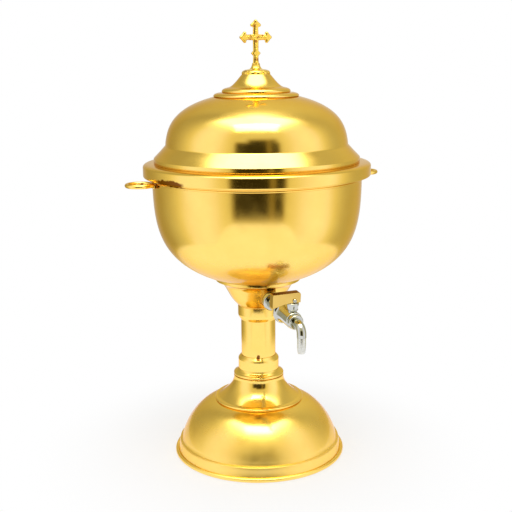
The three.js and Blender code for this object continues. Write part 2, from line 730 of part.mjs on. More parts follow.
// Finial cap: two half-round steps and a hollow-sided cone under the cross
function makeCap() {
  const onLid = (radius) => [radius, heightOn(lidLine, radius) + SOLDER_GAP];
  const rise = CAP_TOP - UPPER_STEP_TOP;
  const spread = UPPER_STEP_RADIUS - CAP_TOP_RADIUS;
  const outer = [
    [STUD_RADIUS + SLIP_FIT, CAP_TOP],
    [CAP_TOP_RADIUS - 0.8, CAP_TOP],
    ...bezierLine(
      [CAP_TOP_RADIUS, CAP_TOP - 0.6],
      [CAP_TOP_RADIUS + 0.22 * spread, CAP_TOP - 0.4 * rise],
      [CAP_TOP_RADIUS + 0.44 * spread, UPPER_STEP_TOP + 0.13 * rise],
      [UPPER_STEP_RADIUS - 3.8, UPPER_STEP_TOP - 0.1],
      4,
    ),
    [UPPER_STEP_RADIUS - 0.3, UPPER_STEP_TOP - 0.2 * STEP_HEIGHT],
    [UPPER_STEP_RADIUS, UPPER_STEP_TOP - 0.65 * STEP_HEIGHT],
    [UPPER_STEP_RADIUS - 0.7, LOWER_STEP_TOP + 0.3],
    [LOWER_STEP_RADIUS - 2.2, LOWER_STEP_TOP],
    [LOWER_STEP_RADIUS - 0.4, LOWER_STEP_TOP - 0.3 * STEP_HEIGHT],
    [LOWER_STEP_RADIUS, LOWER_STEP_TOP - 0.65 * STEP_HEIGHT],
    onLid(LOWER_STEP_RADIUS - 0.6),
    onLid(LOWER_STEP_RADIUS - 2 * SHEET),
  ];
  const under = [
    [LOWER_STEP_RADIUS - 2 * SHEET, LOWER_STEP_TOP - SHEET],
    [UPPER_STEP_RADIUS - SHEET, LOWER_STEP_TOP - SHEET],
    [UPPER_STEP_RADIUS - 2 * SHEET, UPPER_STEP_TOP - SHEET],
  ];
  const inner = backFace(outer.slice(0, 6), -SHEET);
  addPiece('finial_cap', turned([...outer, ...under, ...inner]), brass);
}

// One bud-ended limb, drawn along +Y from the crossing, as a whole outline from its right side
function limbOutline(length, halfWidth) {
  const budStation = length - BUD_SETBACK;
  const right = [
    [halfWidth, halfWidth],
    [halfWidth - 0.4, budStation - 2.4 * BUD_RADIUS],
    ...arcLine(BUD_SETBACK - BUD_RADIUS, budStation, BUD_RADIUS, -80, 70, 3),
    ...arcLine(0, length - BUD_RADIUS, BUD_RADIUS, 20, 90, 2),
  ];
  const left = right.slice(0, -1).reverse().map(([x, y]) => [-x, y]);
  return [...right, ...left];
}

// Cross: bud-ended limbs, a pointed knop, a flaring lower shaft and a foot of petals
function makeCross() {
  const crossing = CROSS_TOP - CROSS_ARM;
  const above = (height) => CAP_TOP + height - crossing;
  const shaft = [
    [CROSS_HALF_WIDTH - 0.3, above(KNOP_HEIGHT) + KNOP_HALF_WIDTH / 2],
    [KNOP_HALF_WIDTH, above(KNOP_HEIGHT)],
    [CROSS_HALF_WIDTH - 0.4, above(KNOP_HEIGHT) - KNOP_HALF_WIDTH / 2],
    [CROSS_HALF_WIDTH + 0.1, above(CROSS_FOOT_HEIGHT) + 7],
    [CROSS_HALF_WIDTH + 0.9, above(CROSS_FOOT_HEIGHT) + 2.5],
    [CROSS_HALF_WIDTH + 3.4, above(CROSS_FOOT_HEIGHT) - 1.5],
  ];
  const limb = limbOutline(CROSS_ARM, CROSS_HALF_WIDTH);
  const turnedLimb = (quarter) => limb.map(([x, y]) => {
    const turn = new THREE.Vector2(x, y).rotateAround(new THREE.Vector2(), (quarter * Math.PI) / 2);
    return [turn.x, turn.y];
  });
  const loop = [
    ...shaft.slice().reverse(),
    ...turnedLimb(-1),
    ...turnedLimb(0),
    ...turnedLimb(1),
    ...shaft.map(([x, y]) => [-x, y]),
  ];
  const outline = new THREE.Shape(loop.map(([x, y]) => new THREE.Vector2(x, y)));
  const plate = new THREE.ExtrudeGeometry(outline, {
    depth: CROSS_THICKNESS - 2 * CROSS_BEVEL,
    bevelThickness: CROSS_BEVEL,
    bevelSize: CROSS_BEVEL * 0.6,
    bevelOffset: -CROSS_BEVEL * 0.6,
    bevelSegments: 1,
  });
  plate.rotateX(Math.PI / 2);
  plate.translate(0, CROSS_THICKNESS / 2 - CROSS_BEVEL, crossing);
  const studHole = tube(STUD_RADIUS + THREAD_GAP, 0, CAP_TOP - 1, CAP_TOP + STUD_DEPTH + 1);
  addPiece('cross', cut(joined(plate, petalFoot()), studHole), castBrass);
}

// The foot of the cross: rings whose radius swells once per petal
function petalFoot() {
  const steps = CROSS_PETALS * 4;
  const rings = [];
  const addRing = (radius, height, lobe) => {
    const ring = [];
    for (let i = 0; i < steps; i += 1) {
      const angle = (2 * Math.PI * i) / steps;
      const petal = Math.abs(Math.cos((CROSS_PETALS * angle) / 2));
      const reach = radius + lobe * (petal - 0.4);
      ring.push(new THREE.Vector3(reach * Math.cos(angle), reach * Math.sin(angle), CAP_TOP + height));
    }
    rings.push(ring);
  };
  addRing(CROSS_FOOT_RADIUS - 1.4, 0, 0.9);
  addRing(CROSS_FOOT_RADIUS - 0.2, 0.2 * CROSS_FOOT_HEIGHT, 1);
  addRing(CROSS_FOOT_RADIUS - 1.2, 0.42 * CROSS_FOOT_HEIGHT, 0.8);
  addRing(CROSS_HALF_WIDTH + 7.3, 0.75 * CROSS_FOOT_HEIGHT, 0.5);
  addRing(CROSS_HALF_WIDTH + 2.6, CROSS_FOOT_HEIGHT, 0.2);
  addRing(CROSS_HALF_WIDTH + 0.4, CROSS_FOOT_HEIGHT + 2.6, 0);
  return skinned(rings, false);
}

// Lid fixings: a stud up into the cross, with a washer and nut under the crown of the lid
function makeLidFixings() {
  const underside = lidLine.at(-1)[1] - SHEET;
  const washerBottom = underside - LID_WASHER_THICKNESS;
  const nutBottom = washerBottom - LID_NUT_HEIGHT;
  addPiece('cross_stud', tube(STUD_RADIUS, 0, nutBottom - STUD_TAIL, CAP_TOP + STUD_DEPTH), steel);
  addPiece('lid_washer', tube(LID_WASHER_RADIUS, STUD_RADIUS + SLIP_FIT, washerBottom, underside), steel);
  addPiece('lid_nut', hexNut(LID_NUT_CORNER, STUD_RADIUS + THREAD_GAP, nutBottom, washerBottom), steel);
}

// Foot fixings: a tie rod up into the neck plug, with a washer and nut under the crown of the foot
function makeFootFixings() {
  const underside = footLine.at(-1)[1] - SHEET;
  const washerBottom = underside - TIE_WASHER_THICKNESS;
  const nutBottom = washerBottom - TIE_NUT_HEIGHT;
  const rodTop = STEM_TOP + PLUG_FLANGE / 4;
  addPiece('tie_rod', tube(TIE_ROD_RADIUS, 0, nutBottom - TIE_ROD_TAIL, rodTop), steel);
  const rodHole = TIE_ROD_RADIUS + SLIP_FIT;
  addPiece('tie_washer', tube(TIE_WASHER_RADIUS, rodHole, washerBottom, underside), steel);
  addPiece('tie_nut', hexNut(TIE_NUT_CORNER, TIE_ROD_RADIUS + THREAD_GAP, nutBottom, washerBottom), steel);
}

// Tap seat: boss soldered to the sloping neck wall, seal and lock ring on the shank
function makeTapSeat() {
  const bore = SHANK_RADIUS + THREAD_GAP;
  const boss = placeOnTapAxis(tapTube(BOSS_RADIUS, bore, shankEnd, bossFace));
  const grown = neckOuterLine(SOLDER_GAP);
  const neckSolid = turned([
    [0, NECK_BOTTOM],
    ...grown,
    [NECK_LIP_RADIUS, BOWL_BASE + BOSS_RADIUS],
    [0, BOWL_BASE + BOSS_RADIUS],
  ]);
  addPiece('tap_boss', cut(boss, neckSolid), plainBrass);

  const sealEnd = bossFace + SEAL_THICKNESS;
  const ringEnd = sealEnd + LOCK_RING_LENGTH;
  addPiece('tap_seal', placeOnTapAxis(tapTube(BOSS_RADIUS - SLIP_FIT, bore, bossFace, sealEnd)), rubber);
  addPiece('tap_lock_ring', placeOnTapAxis(turnedOnTap([
    [bore, sealEnd],
    [LOCK_RING_RADIUS - 0.6, sealEnd],
    [LOCK_RING_RADIUS, sealEnd + 0.8],
    [LOCK_RING_RADIUS, ringEnd - 3],
    [LOCK_RING_RADIUS - 0.8, ringEnd - 1],
    [LOCK_RING_RADIUS - 3, ringEnd],
    [bore, ringEnd],
  ])), chrome);
}

// Tap body: shank, bell, barrel and upright tower, bored for the water and for the plug
function makeTapBody() {
  const outside = turnedOnTap([
    [0, shankEnd],
    [SHANK_RADIUS - 0.8, shankEnd],
    [SHANK_RADIUS, shankEnd + 0.8],
    ...bezierLine(
      [SHANK_RADIUS, bellFront - BELL_LENGTH],
      [SHANK_RADIUS + 1.2, bellFront - 0.4 * BELL_LENGTH],
      [BELL_RADIUS - 2.4, bellFront - 0.3 * BELL_LENGTH],
      [BELL_RADIUS, bellFront - 0.17 * BELL_LENGTH],
      4,
    ),
    [BELL_RADIUS, bellFront - 0.6],
    [BELL_RADIUS - 0.8, bellFront],
    [BARREL_RADIUS + 1.6, bellFront + 1.6],
    [BARREL_RADIUS + 0.6, bellFront + 4],
    [BARREL_RADIUS, bellFront + BELL_LENGTH],
    [BARREL_RADIUS, barrelEnd - 2],
    [BARREL_RADIUS - 2, barrelEnd],
    [OUTLET_RADIUS, barrelEnd],
    [OUTLET_RADIUS, outletEnd],
    [0, outletEnd],
  ]);
  const tower = tube(TOWER_RADIUS, 0, 0, TOWER_TOP);
  tower.translate(0, -spindleStation, 0);
  const waterway = tapTube(WATERWAY_RADIUS, 0, shankEnd - 1, outletEnd + 1);
  const chamber = tube(PLUG_RADIUS + SLIP_FIT / 2, 0, -PLUG_DEPTH - SLIP_FIT, TOWER_TOP + 1);
  chamber.translate(0, -spindleStation, 0);
  const body = cut(joined(outside, tower), waterway, chamber);
  addPiece('tap_body', placeOnTapAxis(body), chrome);
}

// Valve: a bored plug that the spindle turns, its packing and the gland nut that holds both down
function makeValve() {
  const square = new THREE.BoxGeometry(SPINDLE_SQUARE, SPINDLE_SQUARE, SQUARE_LENGTH);
  square.translate(0, 0, LEVER_BOTTOM + SQUARE_LENGTH / 2);
  const plug = turned([
    [0, -PLUG_DEPTH],
    [PLUG_RADIUS, -PLUG_DEPTH],
    [PLUG_RADIUS, PLUG_TOP],
    [SPINDLE_RADIUS, PLUG_TOP],
    [SPINDLE_RADIUS, LEVER_BOTTOM],
    [0, LEVER_BOTTOM],
  ], SMALL_STEPS);
  const crossBore = tube(WATERWAY_RADIUS - 0.8, 0, -2 * PLUG_RADIUS, 2 * PLUG_RADIUS);
  crossBore.rotateY(Math.PI / 2);
  addPiece('tap_plug', placeOnSpindle(cut(joined(plug, square), crossBore)), plainBrass);

  const packingTop = PLUG_TOP + PACKING_HEIGHT;
  const packing = tube(PLUG_RADIUS, SPINDLE_RADIUS + THREAD_GAP, PLUG_TOP, packingTop);
  addPiece('tap_packing', placeOnSpindle(packing), plasticSeal);
  addPiece('tap_gland', placeOnSpindle(turned([
    [SPINDLE_RADIUS + SLIP_FIT, packingTop],
    [PLUG_RADIUS, packingTop],
    [PLUG_RADIUS, TOWER_TOP],
    [GLAND_RADIUS - 0.5, TOWER_TOP],
    [GLAND_RADIUS, TOWER_TOP + 0.6],
    [GLAND_RADIUS, GLAND_TOP - 1.2],
    [GLAND_RADIUS - 1.2, GLAND_TOP],
    [SPINDLE_RADIUS + SLIP_FIT, GLAND_TOP],
  ], SMALL_STEPS)), chrome);
}

// Lever: a flat-faced wing, deeper at its free end, on a square spindle with a side screw
function makeLever() {
  const corner = 2;
  const side = new THREE.Shape();
  side.moveTo(LEVER_HEEL, LEVER_BOTTOM);
  side.lineTo(LEVER_HEEL, LEVER_TOP - corner);
  side.quadraticCurveTo(LEVER_HEEL, LEVER_TOP, LEVER_HEEL - corner, LEVER_TOP);
  side.lineTo(-LEVER_REACH + corner / 2, LEVER_TOP - 0.4);
  side.quadraticCurveTo(-LEVER_REACH, LEVER_TOP - 0.4, -LEVER_REACH, LEVER_TOP - 0.4 - corner / 2);
  side.lineTo(-LEVER_REACH, LEVER_BOTTOM - LEVER_DROP);
  side.lineTo(-GLAND_RADIUS - 1.2, LEVER_BOTTOM);
  side.closePath();
  const wing = new THREE.ExtrudeGeometry(side, {
    depth: LEVER_DEPTH - 2 * LEVER_BEVEL,
    bevelThickness: LEVER_BEVEL,
    bevelSize: LEVER_BEVEL,
    bevelOffset: -LEVER_BEVEL,
    bevelSegments: 1,
    curveSegments: 4,
  });
  wing.rotateX(Math.PI / 2);
  wing.translate(0, LEVER_DEPTH / 2 - LEVER_BEVEL, 0);
  const socketSide = SPINDLE_SQUARE + SLIP_FIT;
  const socketDepth = SQUARE_LENGTH + SLIP_FIT;
  const socket = new THREE.BoxGeometry(socketSide, socketSide, 2 * socketDepth);
  socket.translate(0, 0, LEVER_BOTTOM);
  const screwHole = tapTube(LEVER_SCREW_RADIUS + THREAD_GAP, 0, 0, LEVER_DEPTH);
  screwHole.translate(0, 0, LEVER_SCREW_LEVEL);
  addPiece('tap_lever', placeOnSpindle(cut(wing, socket, screwHole)), brass);

  const screwTip = SPINDLE_SQUARE / 2 + SLIP_FIT / 2;
  const screw = turnedOnTap([
    [0, screwTip],
    [LEVER_SCREW_RADIUS, screwTip],
    [LEVER_SCREW_RADIUS, LEVER_DEPTH / 2],
    [LEVER_SCREW_HEAD, LEVER_DEPTH / 2],
    ...arcLine(0, LEVER_DEPTH / 2 + 0.2, LEVER_SCREW_HEAD, 0, 90, 3),
  ]);
  screw.translate(0, 0, LEVER_SCREW_LEVEL);
  addPiece('tap_lever_screw', placeOnSpindle(screw), chrome);
}

// Union nut: holds the collar of the spout against the end of the outlet
function makeSpoutNut() {
  const nutEnd = barrelEnd + SPOUT_NUT_LENGTH;
  const collarEnd = outletEnd + SPOUT_COLLAR;
  addPiece('spout_nut', placeOnTapAxis(turnedOnTap([
    [OUTLET_RADIUS + THREAD_GAP, barrelEnd],
    [SPOUT_NUT_RADIUS - 0.7, barrelEnd],
    [SPOUT_NUT_RADIUS, barrelEnd + 0.8],
    [SPOUT_NUT_RADIUS, nutEnd - 1.6],
    [SPOUT_NUT_RADIUS - 1.4, nutEnd],
    [SPOUT_RADIUS + THREAD_GAP, nutEnd],
    [SPOUT_RADIUS + THREAD_GAP, collarEnd],
    [OUTLET_RADIUS + THREAD_GAP, collarEnd],
  ])), chrome);
}

// Spout: a tube bent down to the upright, and the plain nozzle on its end
function makeSpout() {
  // Rings about the middle line, which leans by the tilt of the tap and bends until it is upright.
  const ring = (centre, lean, radius) => {
    const points = [];
    for (let i = 0; i < SPOUT_STEPS; i += 1) {
      const angle = (2 * Math.PI * i) / SPOUT_STEPS;
      const [across, up] = [radius * Math.cos(angle), radius * Math.sin(angle)];
      points.push(new THREE.Vector3(across, -up * Math.sin(lean), up * Math.cos(lean)).add(centre));
    }
    return points;
  };
  const onAxis = (station) => new THREE.Vector3(
    0,
    -station * Math.cos(TAP_TILT),
    TAP_ORIGIN_LEVEL - station * Math.sin(TAP_TILT),
  );
  const reach = spindleStation * Math.cos(TAP_TILT) + SPOUT_FROM_SPINDLE;
  const bendStation = (reach - SPOUT_BEND_RADIUS * (1 - Math.sin(TAP_TILT))) / Math.cos(TAP_TILT);
  const bendCentre = onAxis(bendStation);
  bendCentre.y += SPOUT_BEND_RADIUS * Math.sin(TAP_TILT);
  bendCentre.z -= SPOUT_BEND_RADIUS * Math.cos(TAP_TILT);
  const bend = (radius) => {
    const steps = 4;
    const rings = [];
    for (let i = 0; i <= steps; i += 1) {
      const lean = THREE.MathUtils.lerp(TAP_TILT, Math.PI / 2, i / steps);
      const arm = new THREE.Vector3(0, -Math.sin(lean), Math.cos(lean)).multiplyScalar(SPOUT_BEND_RADIUS);
      rings.push(ring(arm.add(bendCentre), lean, radius));
    }
    return rings;
  };
  const collarRadius = OUTLET_RADIUS - THREAD_GAP;
  const collarEnd = outletEnd + SPOUT_COLLAR;
  const nozzleTop = bendCentre.z - SPOUT_DROP;
  const end = new THREE.Vector3(0, -reach, nozzleTop);
  addPiece('tap_spout', toGeometry(toSolid(skinned([
    ring(onAxis(outletEnd), TAP_TILT, collarRadius),
    ring(onAxis(collarEnd), TAP_TILT, collarRadius),
    ring(onAxis(collarEnd), TAP_TILT, SPOUT_RADIUS),
    ...bend(SPOUT_RADIUS),
    ring(end, Math.PI / 2, SPOUT_RADIUS),
    ring(end, Math.PI / 2, SPOUT_BORE),
    ...bend(SPOUT_BORE).reverse(),
    ring(onAxis(outletEnd), TAP_TILT, SPOUT_BORE),
  ], true))), chrome);

  const tip = nozzleTop - NOZZLE_LENGTH;
  const spigotTop = nozzleTop + SPOUT_DROP - SLIP_FIT;
  const spigotRadius = SPOUT_BORE - THREAD_GAP;
  const nozzle = turned([
    [NOZZLE_BORE, tip],
    [NOZZLE_RADIUS - 1.6, tip],
    [NOZZLE_RADIUS - 0.8, tip + 0.8],
    [NOZZLE_RADIUS - 0.2, tip + 0.25 * NOZZLE_LENGTH],
    [NOZZLE_RADIUS, tip + 0.45 * NOZZLE_LENGTH],
    [NOZZLE_RADIUS, nozzleTop],
    [spigotRadius, nozzleTop],
    [spigotRadius, spigotTop],
    [NOZZLE_BORE, spigotTop],
  ], SPOUT_STEPS);
  nozzle.translate(0, -reach, 0);
  addPiece('spout_nozzle', nozzle, chrome);
}

makeFootBand();
makeFootDome();
makeFootCone();
makeStem();
makeNeck();
makeNeckPlug();
makeBowl();
makeRim();
makeHandles();
makeLid();
makeCap();
makeCross();
makeLidFixings();
makeFootFixings();
makeTapSeat();
makeTapBody();
makeValve();
makeLever();
makeSpoutNut();
makeSpout();

export default font;
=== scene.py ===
import math

import bmesh
import bpy
from mathutils import Matrix, Vector


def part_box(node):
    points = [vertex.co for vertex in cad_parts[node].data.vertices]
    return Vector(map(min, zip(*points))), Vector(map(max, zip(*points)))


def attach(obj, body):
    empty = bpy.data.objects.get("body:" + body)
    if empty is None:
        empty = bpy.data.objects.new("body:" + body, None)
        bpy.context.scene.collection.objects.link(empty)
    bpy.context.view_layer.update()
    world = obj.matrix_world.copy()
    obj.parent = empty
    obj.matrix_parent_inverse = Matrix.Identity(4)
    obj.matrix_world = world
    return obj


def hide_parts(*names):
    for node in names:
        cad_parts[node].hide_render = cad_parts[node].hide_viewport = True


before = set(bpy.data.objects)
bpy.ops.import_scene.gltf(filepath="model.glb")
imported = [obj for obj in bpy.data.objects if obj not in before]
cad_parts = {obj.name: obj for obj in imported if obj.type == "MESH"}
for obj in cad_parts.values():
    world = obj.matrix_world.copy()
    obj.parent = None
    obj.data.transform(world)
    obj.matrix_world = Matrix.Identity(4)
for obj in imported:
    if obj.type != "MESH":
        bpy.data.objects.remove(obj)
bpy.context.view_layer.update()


# Foot band: the low ring that everything stands on. It is spun from brass sheet, with its lower
# edge rolled round a wire and dressed flat for the floor, then polished to a satin and lacquered.
mm = 0.001
sheet = 1.6 * mm
rolled_wire = 3.1 * mm
floor_land = 1.8 * mm
brass_colour = (0.98, 0.67, 0.12)
worn_brass_colour = (0.94, 0.61, 0.095)
# Dark red-brown for the flux spots, for the patch on the stem's seam and for the painted shade by
# the left handle.
stain_and_shade_colour = (0.17, 0.042, 0.006)
lacquer = 0.35
dark_patch_raggedness = 6 * mm
dark_patch_edge = (0.75, 0.95)


def arc(radius, height, size, start, end, steps=16):
    """Points of [radius, height] round a centre, from one angle in degrees to another."""
    points = []
    for i in range(steps + 1):
        angle = math.radians(start + (end - start) * i / steps)
        points.append((radius + size * math.cos(angle), height + size * math.sin(angle)))
    return points


def mesh_piece(name, mesh, crease=None):
    """Puts a mesh into the scene, smooth but for edges sharper than the crease, in degrees."""
    mesh.shade_smooth()
    if crease:
        mesh.set_sharp_from_angle(angle=math.radians(crease))
    piece = bpy.data.objects.new(name, mesh)
    bpy.context.scene.collection.objects.link(piece)
    return piece


def shape_piece(name, shape, crease=None):
    """Does the same with a shape that has just been built."""
    mesh = bpy.data.meshes.new(name)
    shape.to_mesh(mesh)
    shape.free()
    return mesh_piece(name, mesh, crease)


def turns(sides):
    """The angles of the corners of a ring."""
    return [2 * math.pi * i / sides for i in range(sides)]


def join_rings(shape, rings):
    """Makes the faces between each ring of corners and the next. A ring may be a single point."""
    for here, there in zip(rings, rings[1:]):
        for i in range(len(here)):
            j = (i + 1) % len(here)
            corners = list(dict.fromkeys((here[i], here[j], there[j], there[i])))
            if len(corners) > 2:
                shape.faces.new(corners)


def spun(name, outline, sides=192, crease=28):
    """A closed outline of [radius, height] spun round the axis of the font."""
    shape = bmesh.new()
    rings = []
    for radius, height in outline:
        if radius == 0:
            rings.append([shape.verts.new((0, 0, height))] * sides)
        else:
            rings.append([
                shape.verts.new((radius * math.cos(turn), radius * math.sin(turn), height))
                for turn in turns(sides)
            ])
    join_rings(shape, rings + rings[:1])
    bmesh.ops.recalc_face_normals(shape, faces=shape.faces)
    return shape_piece(name, shape, crease)


def node_adder(tree):
    """A function that adds one node to a tree, with its settings, and wires or sets its inputs.
    An input is called by its name, or by its number after an underscore."""
    def add(kind, settings=None, **inputs):
        node = tree.nodes.new("ShaderNode" + kind)
        for key, value in (settings or {}).items():
            setattr(node, key, value)
        for key, value in inputs.items():
            name = int(key[1:]) if key[0] == "_" else key.replace("_", " ")
            if isinstance(value, bpy.types.NodeSocket):
                tree.links.new(value, node.inputs[name])
            else:
                node.inputs[name].default_value = value
        return node

    return add


def new_finish(name):
    """An empty node material with its shader, and the function that adds its nodes."""
    finish = bpy.data.materials.new(name)
    finish.use_nodes = True
    tree = finish.node_tree
    tree.nodes.clear()
    output = tree.nodes.new("ShaderNodeOutputMaterial")
    shader = tree.nodes.new("ShaderNodeBsdfPrincipled")
    tree.links.new(shader.outputs[0], output.inputs["Surface"])
    return finish, tree, shader, node_adder(tree)


def ramp(add, value, start, end, low=0.0, high=1.0, kind="LINEAR"):
    """Goes from low to high as the value goes from start to end."""
    return add("MapRange", {"interpolation_type": kind},
               _0=value, _1=start, _2=end, _3=low, _4=high).outputs[0]


def cloudy(add, place, scale, low, high, detail=3.0):
    """A soft noise between two values."""
    noise = add("TexNoise", Vector=place, Scale=scale, Detail=detail, Roughness=0.55)
    return ramp(add, noise.outputs["Fac"], 0.3, 0.7, low, high)


def grain(add, place, scale, detail):
    """A plain noise for relief and for spots."""
    return add("TexNoise", Vector=place, Scale=scale, Detail=detail).outputs["Fac"]


def mixed(add, share, colour, other):
    """A colour that goes over into another. Each is a socket or three numbers."""
    first, second = (c if isinstance(c, bpy.types.NodeSocket) else (*c, 1) for c in (colour, other))
    return add("Mix", {"data_type": "RGBA"}, _0=share, _6=first, _7=second).outputs[2]


def length(add, vector):
    """The length of a vector."""
    return add("VectorMath", {"operation": "LENGTH"}, _0=vector).outputs["Value"]


def wire_up(tree, shader, tint, rough, relief, metallic=1.0):
    """Gives the shader its colour, its roughness and its relief."""
    tree.links.new(tint, shader.inputs["Base Color"])
    tree.links.new(rough, shader.inputs["Roughness"])
    tree.links.new(relief.outputs[0], shader.inputs["Normal"])
    shader.inputs["Metallic"].default_value = metallic


def polished_brass(name, colour, worn, gloss, lines=0.05, spots=0.0, stain=None, haze=None):
    """Lacquered brass: spinning lines round the axis, a cloudy polish and faint dents in the sheet.
    Small dark spots can be strewn over it, its colour can be darkened round one point, which is
    painted shade where that point lies by the left handle, and it can be hazier below some height."""
    finish, tree, shader, add = new_finish(name)
    place = add("TexCoord").outputs["Object"]
    parts = add("SeparateXYZ", Vector=place)
    flat = add("CombineXYZ", X=parts.outputs["X"], Y=parts.outputs["Y"])
    ringed = add("CombineXYZ", X=length(add, flat.outputs[0]), Y=parts.outputs["Z"]).outputs[0]
    spinning = grain(add, ringed, 1400.0, 2.0)
    dents = add("TexNoise", Vector=place, Scale=14.0, Detail=1.0, Roughness=0.4).outputs["Fac"]
    tint = mixed(add, cloudy(add, place, 22.0, 0.0, 1.0, 4.0), colour, worn)
    if spots:
        blotch = grain(add, place, 150.0, 3.0)
        tint = mixed(add, ramp(add, blotch, 0.62, 0.7, 0.0, spots), tint, stain_and_shade_colour)
    shader.inputs["Coat Weight"].default_value = lacquer
    # Darkens the colour round one point: painted shade by the left handle, a plain dark patch on
    # the stem's seam.
    if stain:
        centre, reach = stain
        ragged = add("TexNoise", Vector=place, Scale=160.0, Detail=2.0).outputs["Color"]
        shaken = add("VectorMath", {"operation": "MULTIPLY_ADD"},
                     _0=ragged, _1=(dark_patch_raggedness,) * 3, _2=place)
        middle = [c + dark_patch_raggedness / 2 for c in centre]
        squeezed = add("Mapping", Vector=shaken.outputs[0], Scale=[1 / r for r in reach],
                       Location=[-m / r for m, r in zip(middle, reach)])
        away = length(add, squeezed.outputs[0])
        tint = mixed(add, ramp(add, away, *dark_patch_edge, 0.95, 0.0), tint, stain_and_shade_colour)
        tree.links.new(ramp(add, away, *dark_patch_edge, 0.0, lacquer), shader.inputs["Coat Weight"])
    rough = cloudy(add, place, 70.0, 0.85 * gloss, 1.2 * gloss)
    if haze:
        full, clear, added = haze
        hazy = ramp(add, parts.outputs["Z"], full, clear, added, 0.0)
        rough = add("Math", {"operation": "ADD"}, _0=rough, _1=hazy).outputs[0]
    fine = add("Bump", Strength=lines, Distance=0.1 * mm, Height=spinning)
    soft = add("Bump", Strength=0.1, Distance=1.2 * mm, Height=dents, Normal=fine.outputs[0])
    wire_up(tree, shader, tint, rough, soft)
    shader.inputs["Specular Tint"].default_value = (0.8, 0.6, 0.3, 1)
    shader.inputs["Coat Roughness"].default_value = 0.08
    return finish


def fit(piece, finish, body, slot, *nodes):
    """Gives a piece its finish, its body and the nodes that it stands for."""
    piece.data.materials.append(finish)
    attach(piece, body)
    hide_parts(*nodes)


satin_brass = polished_brass("satin_brass", brass_colour, worn_brass_colour, 0.2,
                             haze=(36 * mm, 66 * mm, 0.17))

low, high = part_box("foot_band")
foot_radius, band_top = high[0], high[2]
wire_centre = foot_radius - rolled_wire
ridge = 113.6 * mm
foot_band = spun("foot_band_spun", [
    *arc(wire_centre, rolled_wire, rolled_wire, -165, -120, 6),
    (wire_centre - floor_land / 2, low[2]),
    (wire_centre + floor_land / 2, low[2]),
    *arc(wire_centre, rolled_wire, rolled_wire, -60, 112, 20),
    (ridge + 1.5 * mm, band_top - 9 * mm),
    (ridge + 0.7 * mm, band_top - 4 * mm),
    *arc(ridge - 0.5 * mm, band_top - 0.5 * mm, 0.5 * mm, 10, 90, 4),
    (ridge - sheet, band_top),
    (ridge - sheet + 0.7 * mm, band_top - 5 * mm),
])
fit(foot_band, satin_brass, "urn", "polished_brass", "foot_band")


# Foot dome: a low dome spun over a chuck. Its edge coves out to sit on the band's ridge, and its
# crown is flat for the washer of the tie rod.
crown_flat = 24 * mm
dome_hip = 60 * mm
dome_cove = 5.8 * mm
tie_hole = 4.3 * mm


def swell(radius, level, rise, side, crown, start, end, steps=40):
    """A spun dome's side and crown: upright at its level and closing over towards the axis."""
    points = []
    for i in range(steps + 1):
        turn = math.sin(math.pi / 2 * i / steps)
        height = start + (end - start) * turn
        climbed = abs((height - level) / rise)
        points.append((radius * (1 - climbed ** crown) ** (1 / side), height))
    return points


def swell_height(radius, level, rise, side, crown, at):
    """The height at which a dome has that radius."""
    return level + rise * (1 - (at / radius) ** side) ** (1 / crown)


def bend(start, pull_start, pull_end, end, steps=20):
    """A smooth bend between two points, given the two points that pull it."""
    corners = [Vector(corner) for corner in (start, pull_start, pull_end, end)]
    points = []
    for i in range(steps + 1):
        t = i / steps
        weights = ((1 - t) ** 3, 3 * t * (1 - t) ** 2, 3 * t * t * (1 - t), t ** 3)
        points.append(tuple(sum((w * c for w, c in zip(weights, corners)), Vector((0, 0)))))
    return points


def inside(line, thickness=sheet):
    """The other face of the sheet, from the end of a line back to its start."""
    back = []
    for i, point in enumerate(line):
        before, after = Vector(line[max(i - 1, 0)]), Vector(line[min(i + 1, len(line) - 1)])
        along = (after - before).normalized()
        back.append((point[0] - along.y * thickness, point[1] + along.x * thickness))
    return back[::-1]


dome = {"radius": 111.9 * mm, "level": 0.0, "rise": 94 * mm, "side": 1.51, "crown": 2.51}
dome_flat_height = swell_height(**dome, at=crown_flat)
hip_height = swell_height(**dome, at=dome_hip)
dome_foot = swell(**dome, start=band_top + dome_cove, end=hip_height)[0]
dome_side = [
    *bend(dome_foot, (103.8 * mm, 44 * mm), (87 * mm, 71.3 * mm), (dome_hip, hip_height), 40),
    *swell(**dome, start=hip_height, end=dome_flat_height)[1:],
]
dome_outside = [
    *arc(ridge - 0.6 * mm, band_top + 0.4 * mm, 0.4 * mm, -90, 60, 4),
    (dome_foot[0] + 1.4 * mm, band_top + 1.6 * mm),
    (dome_foot[0] + 0.5 * mm, band_top + 3.2 * mm),
    *dome_side,
    (tie_hole, dome_flat_height),
]
foot_dome = spun("foot_dome_spun", [
    *dome_outside,
    *inside(dome_outside[6:]),
    (ridge - sheet, band_top),
])
fit(foot_dome, satin_brass, "urn", "polished_brass", "foot_dome")


# Foot cone: a trumpet spun in one piece. Its rolled flange rests on the dome and its flat top
# carries the stem.
low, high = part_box("foot_cone")
flange_radius, cone_top = high[0], high[2]
cone_neck = 35.2 * mm
cone_flare = 57 * mm
solder_gap = 0.15 * mm


def on_dome(radius):
    """The place on the foot dome at a radius."""
    return radius, swell_height(**dome, at=radius) + solder_gap


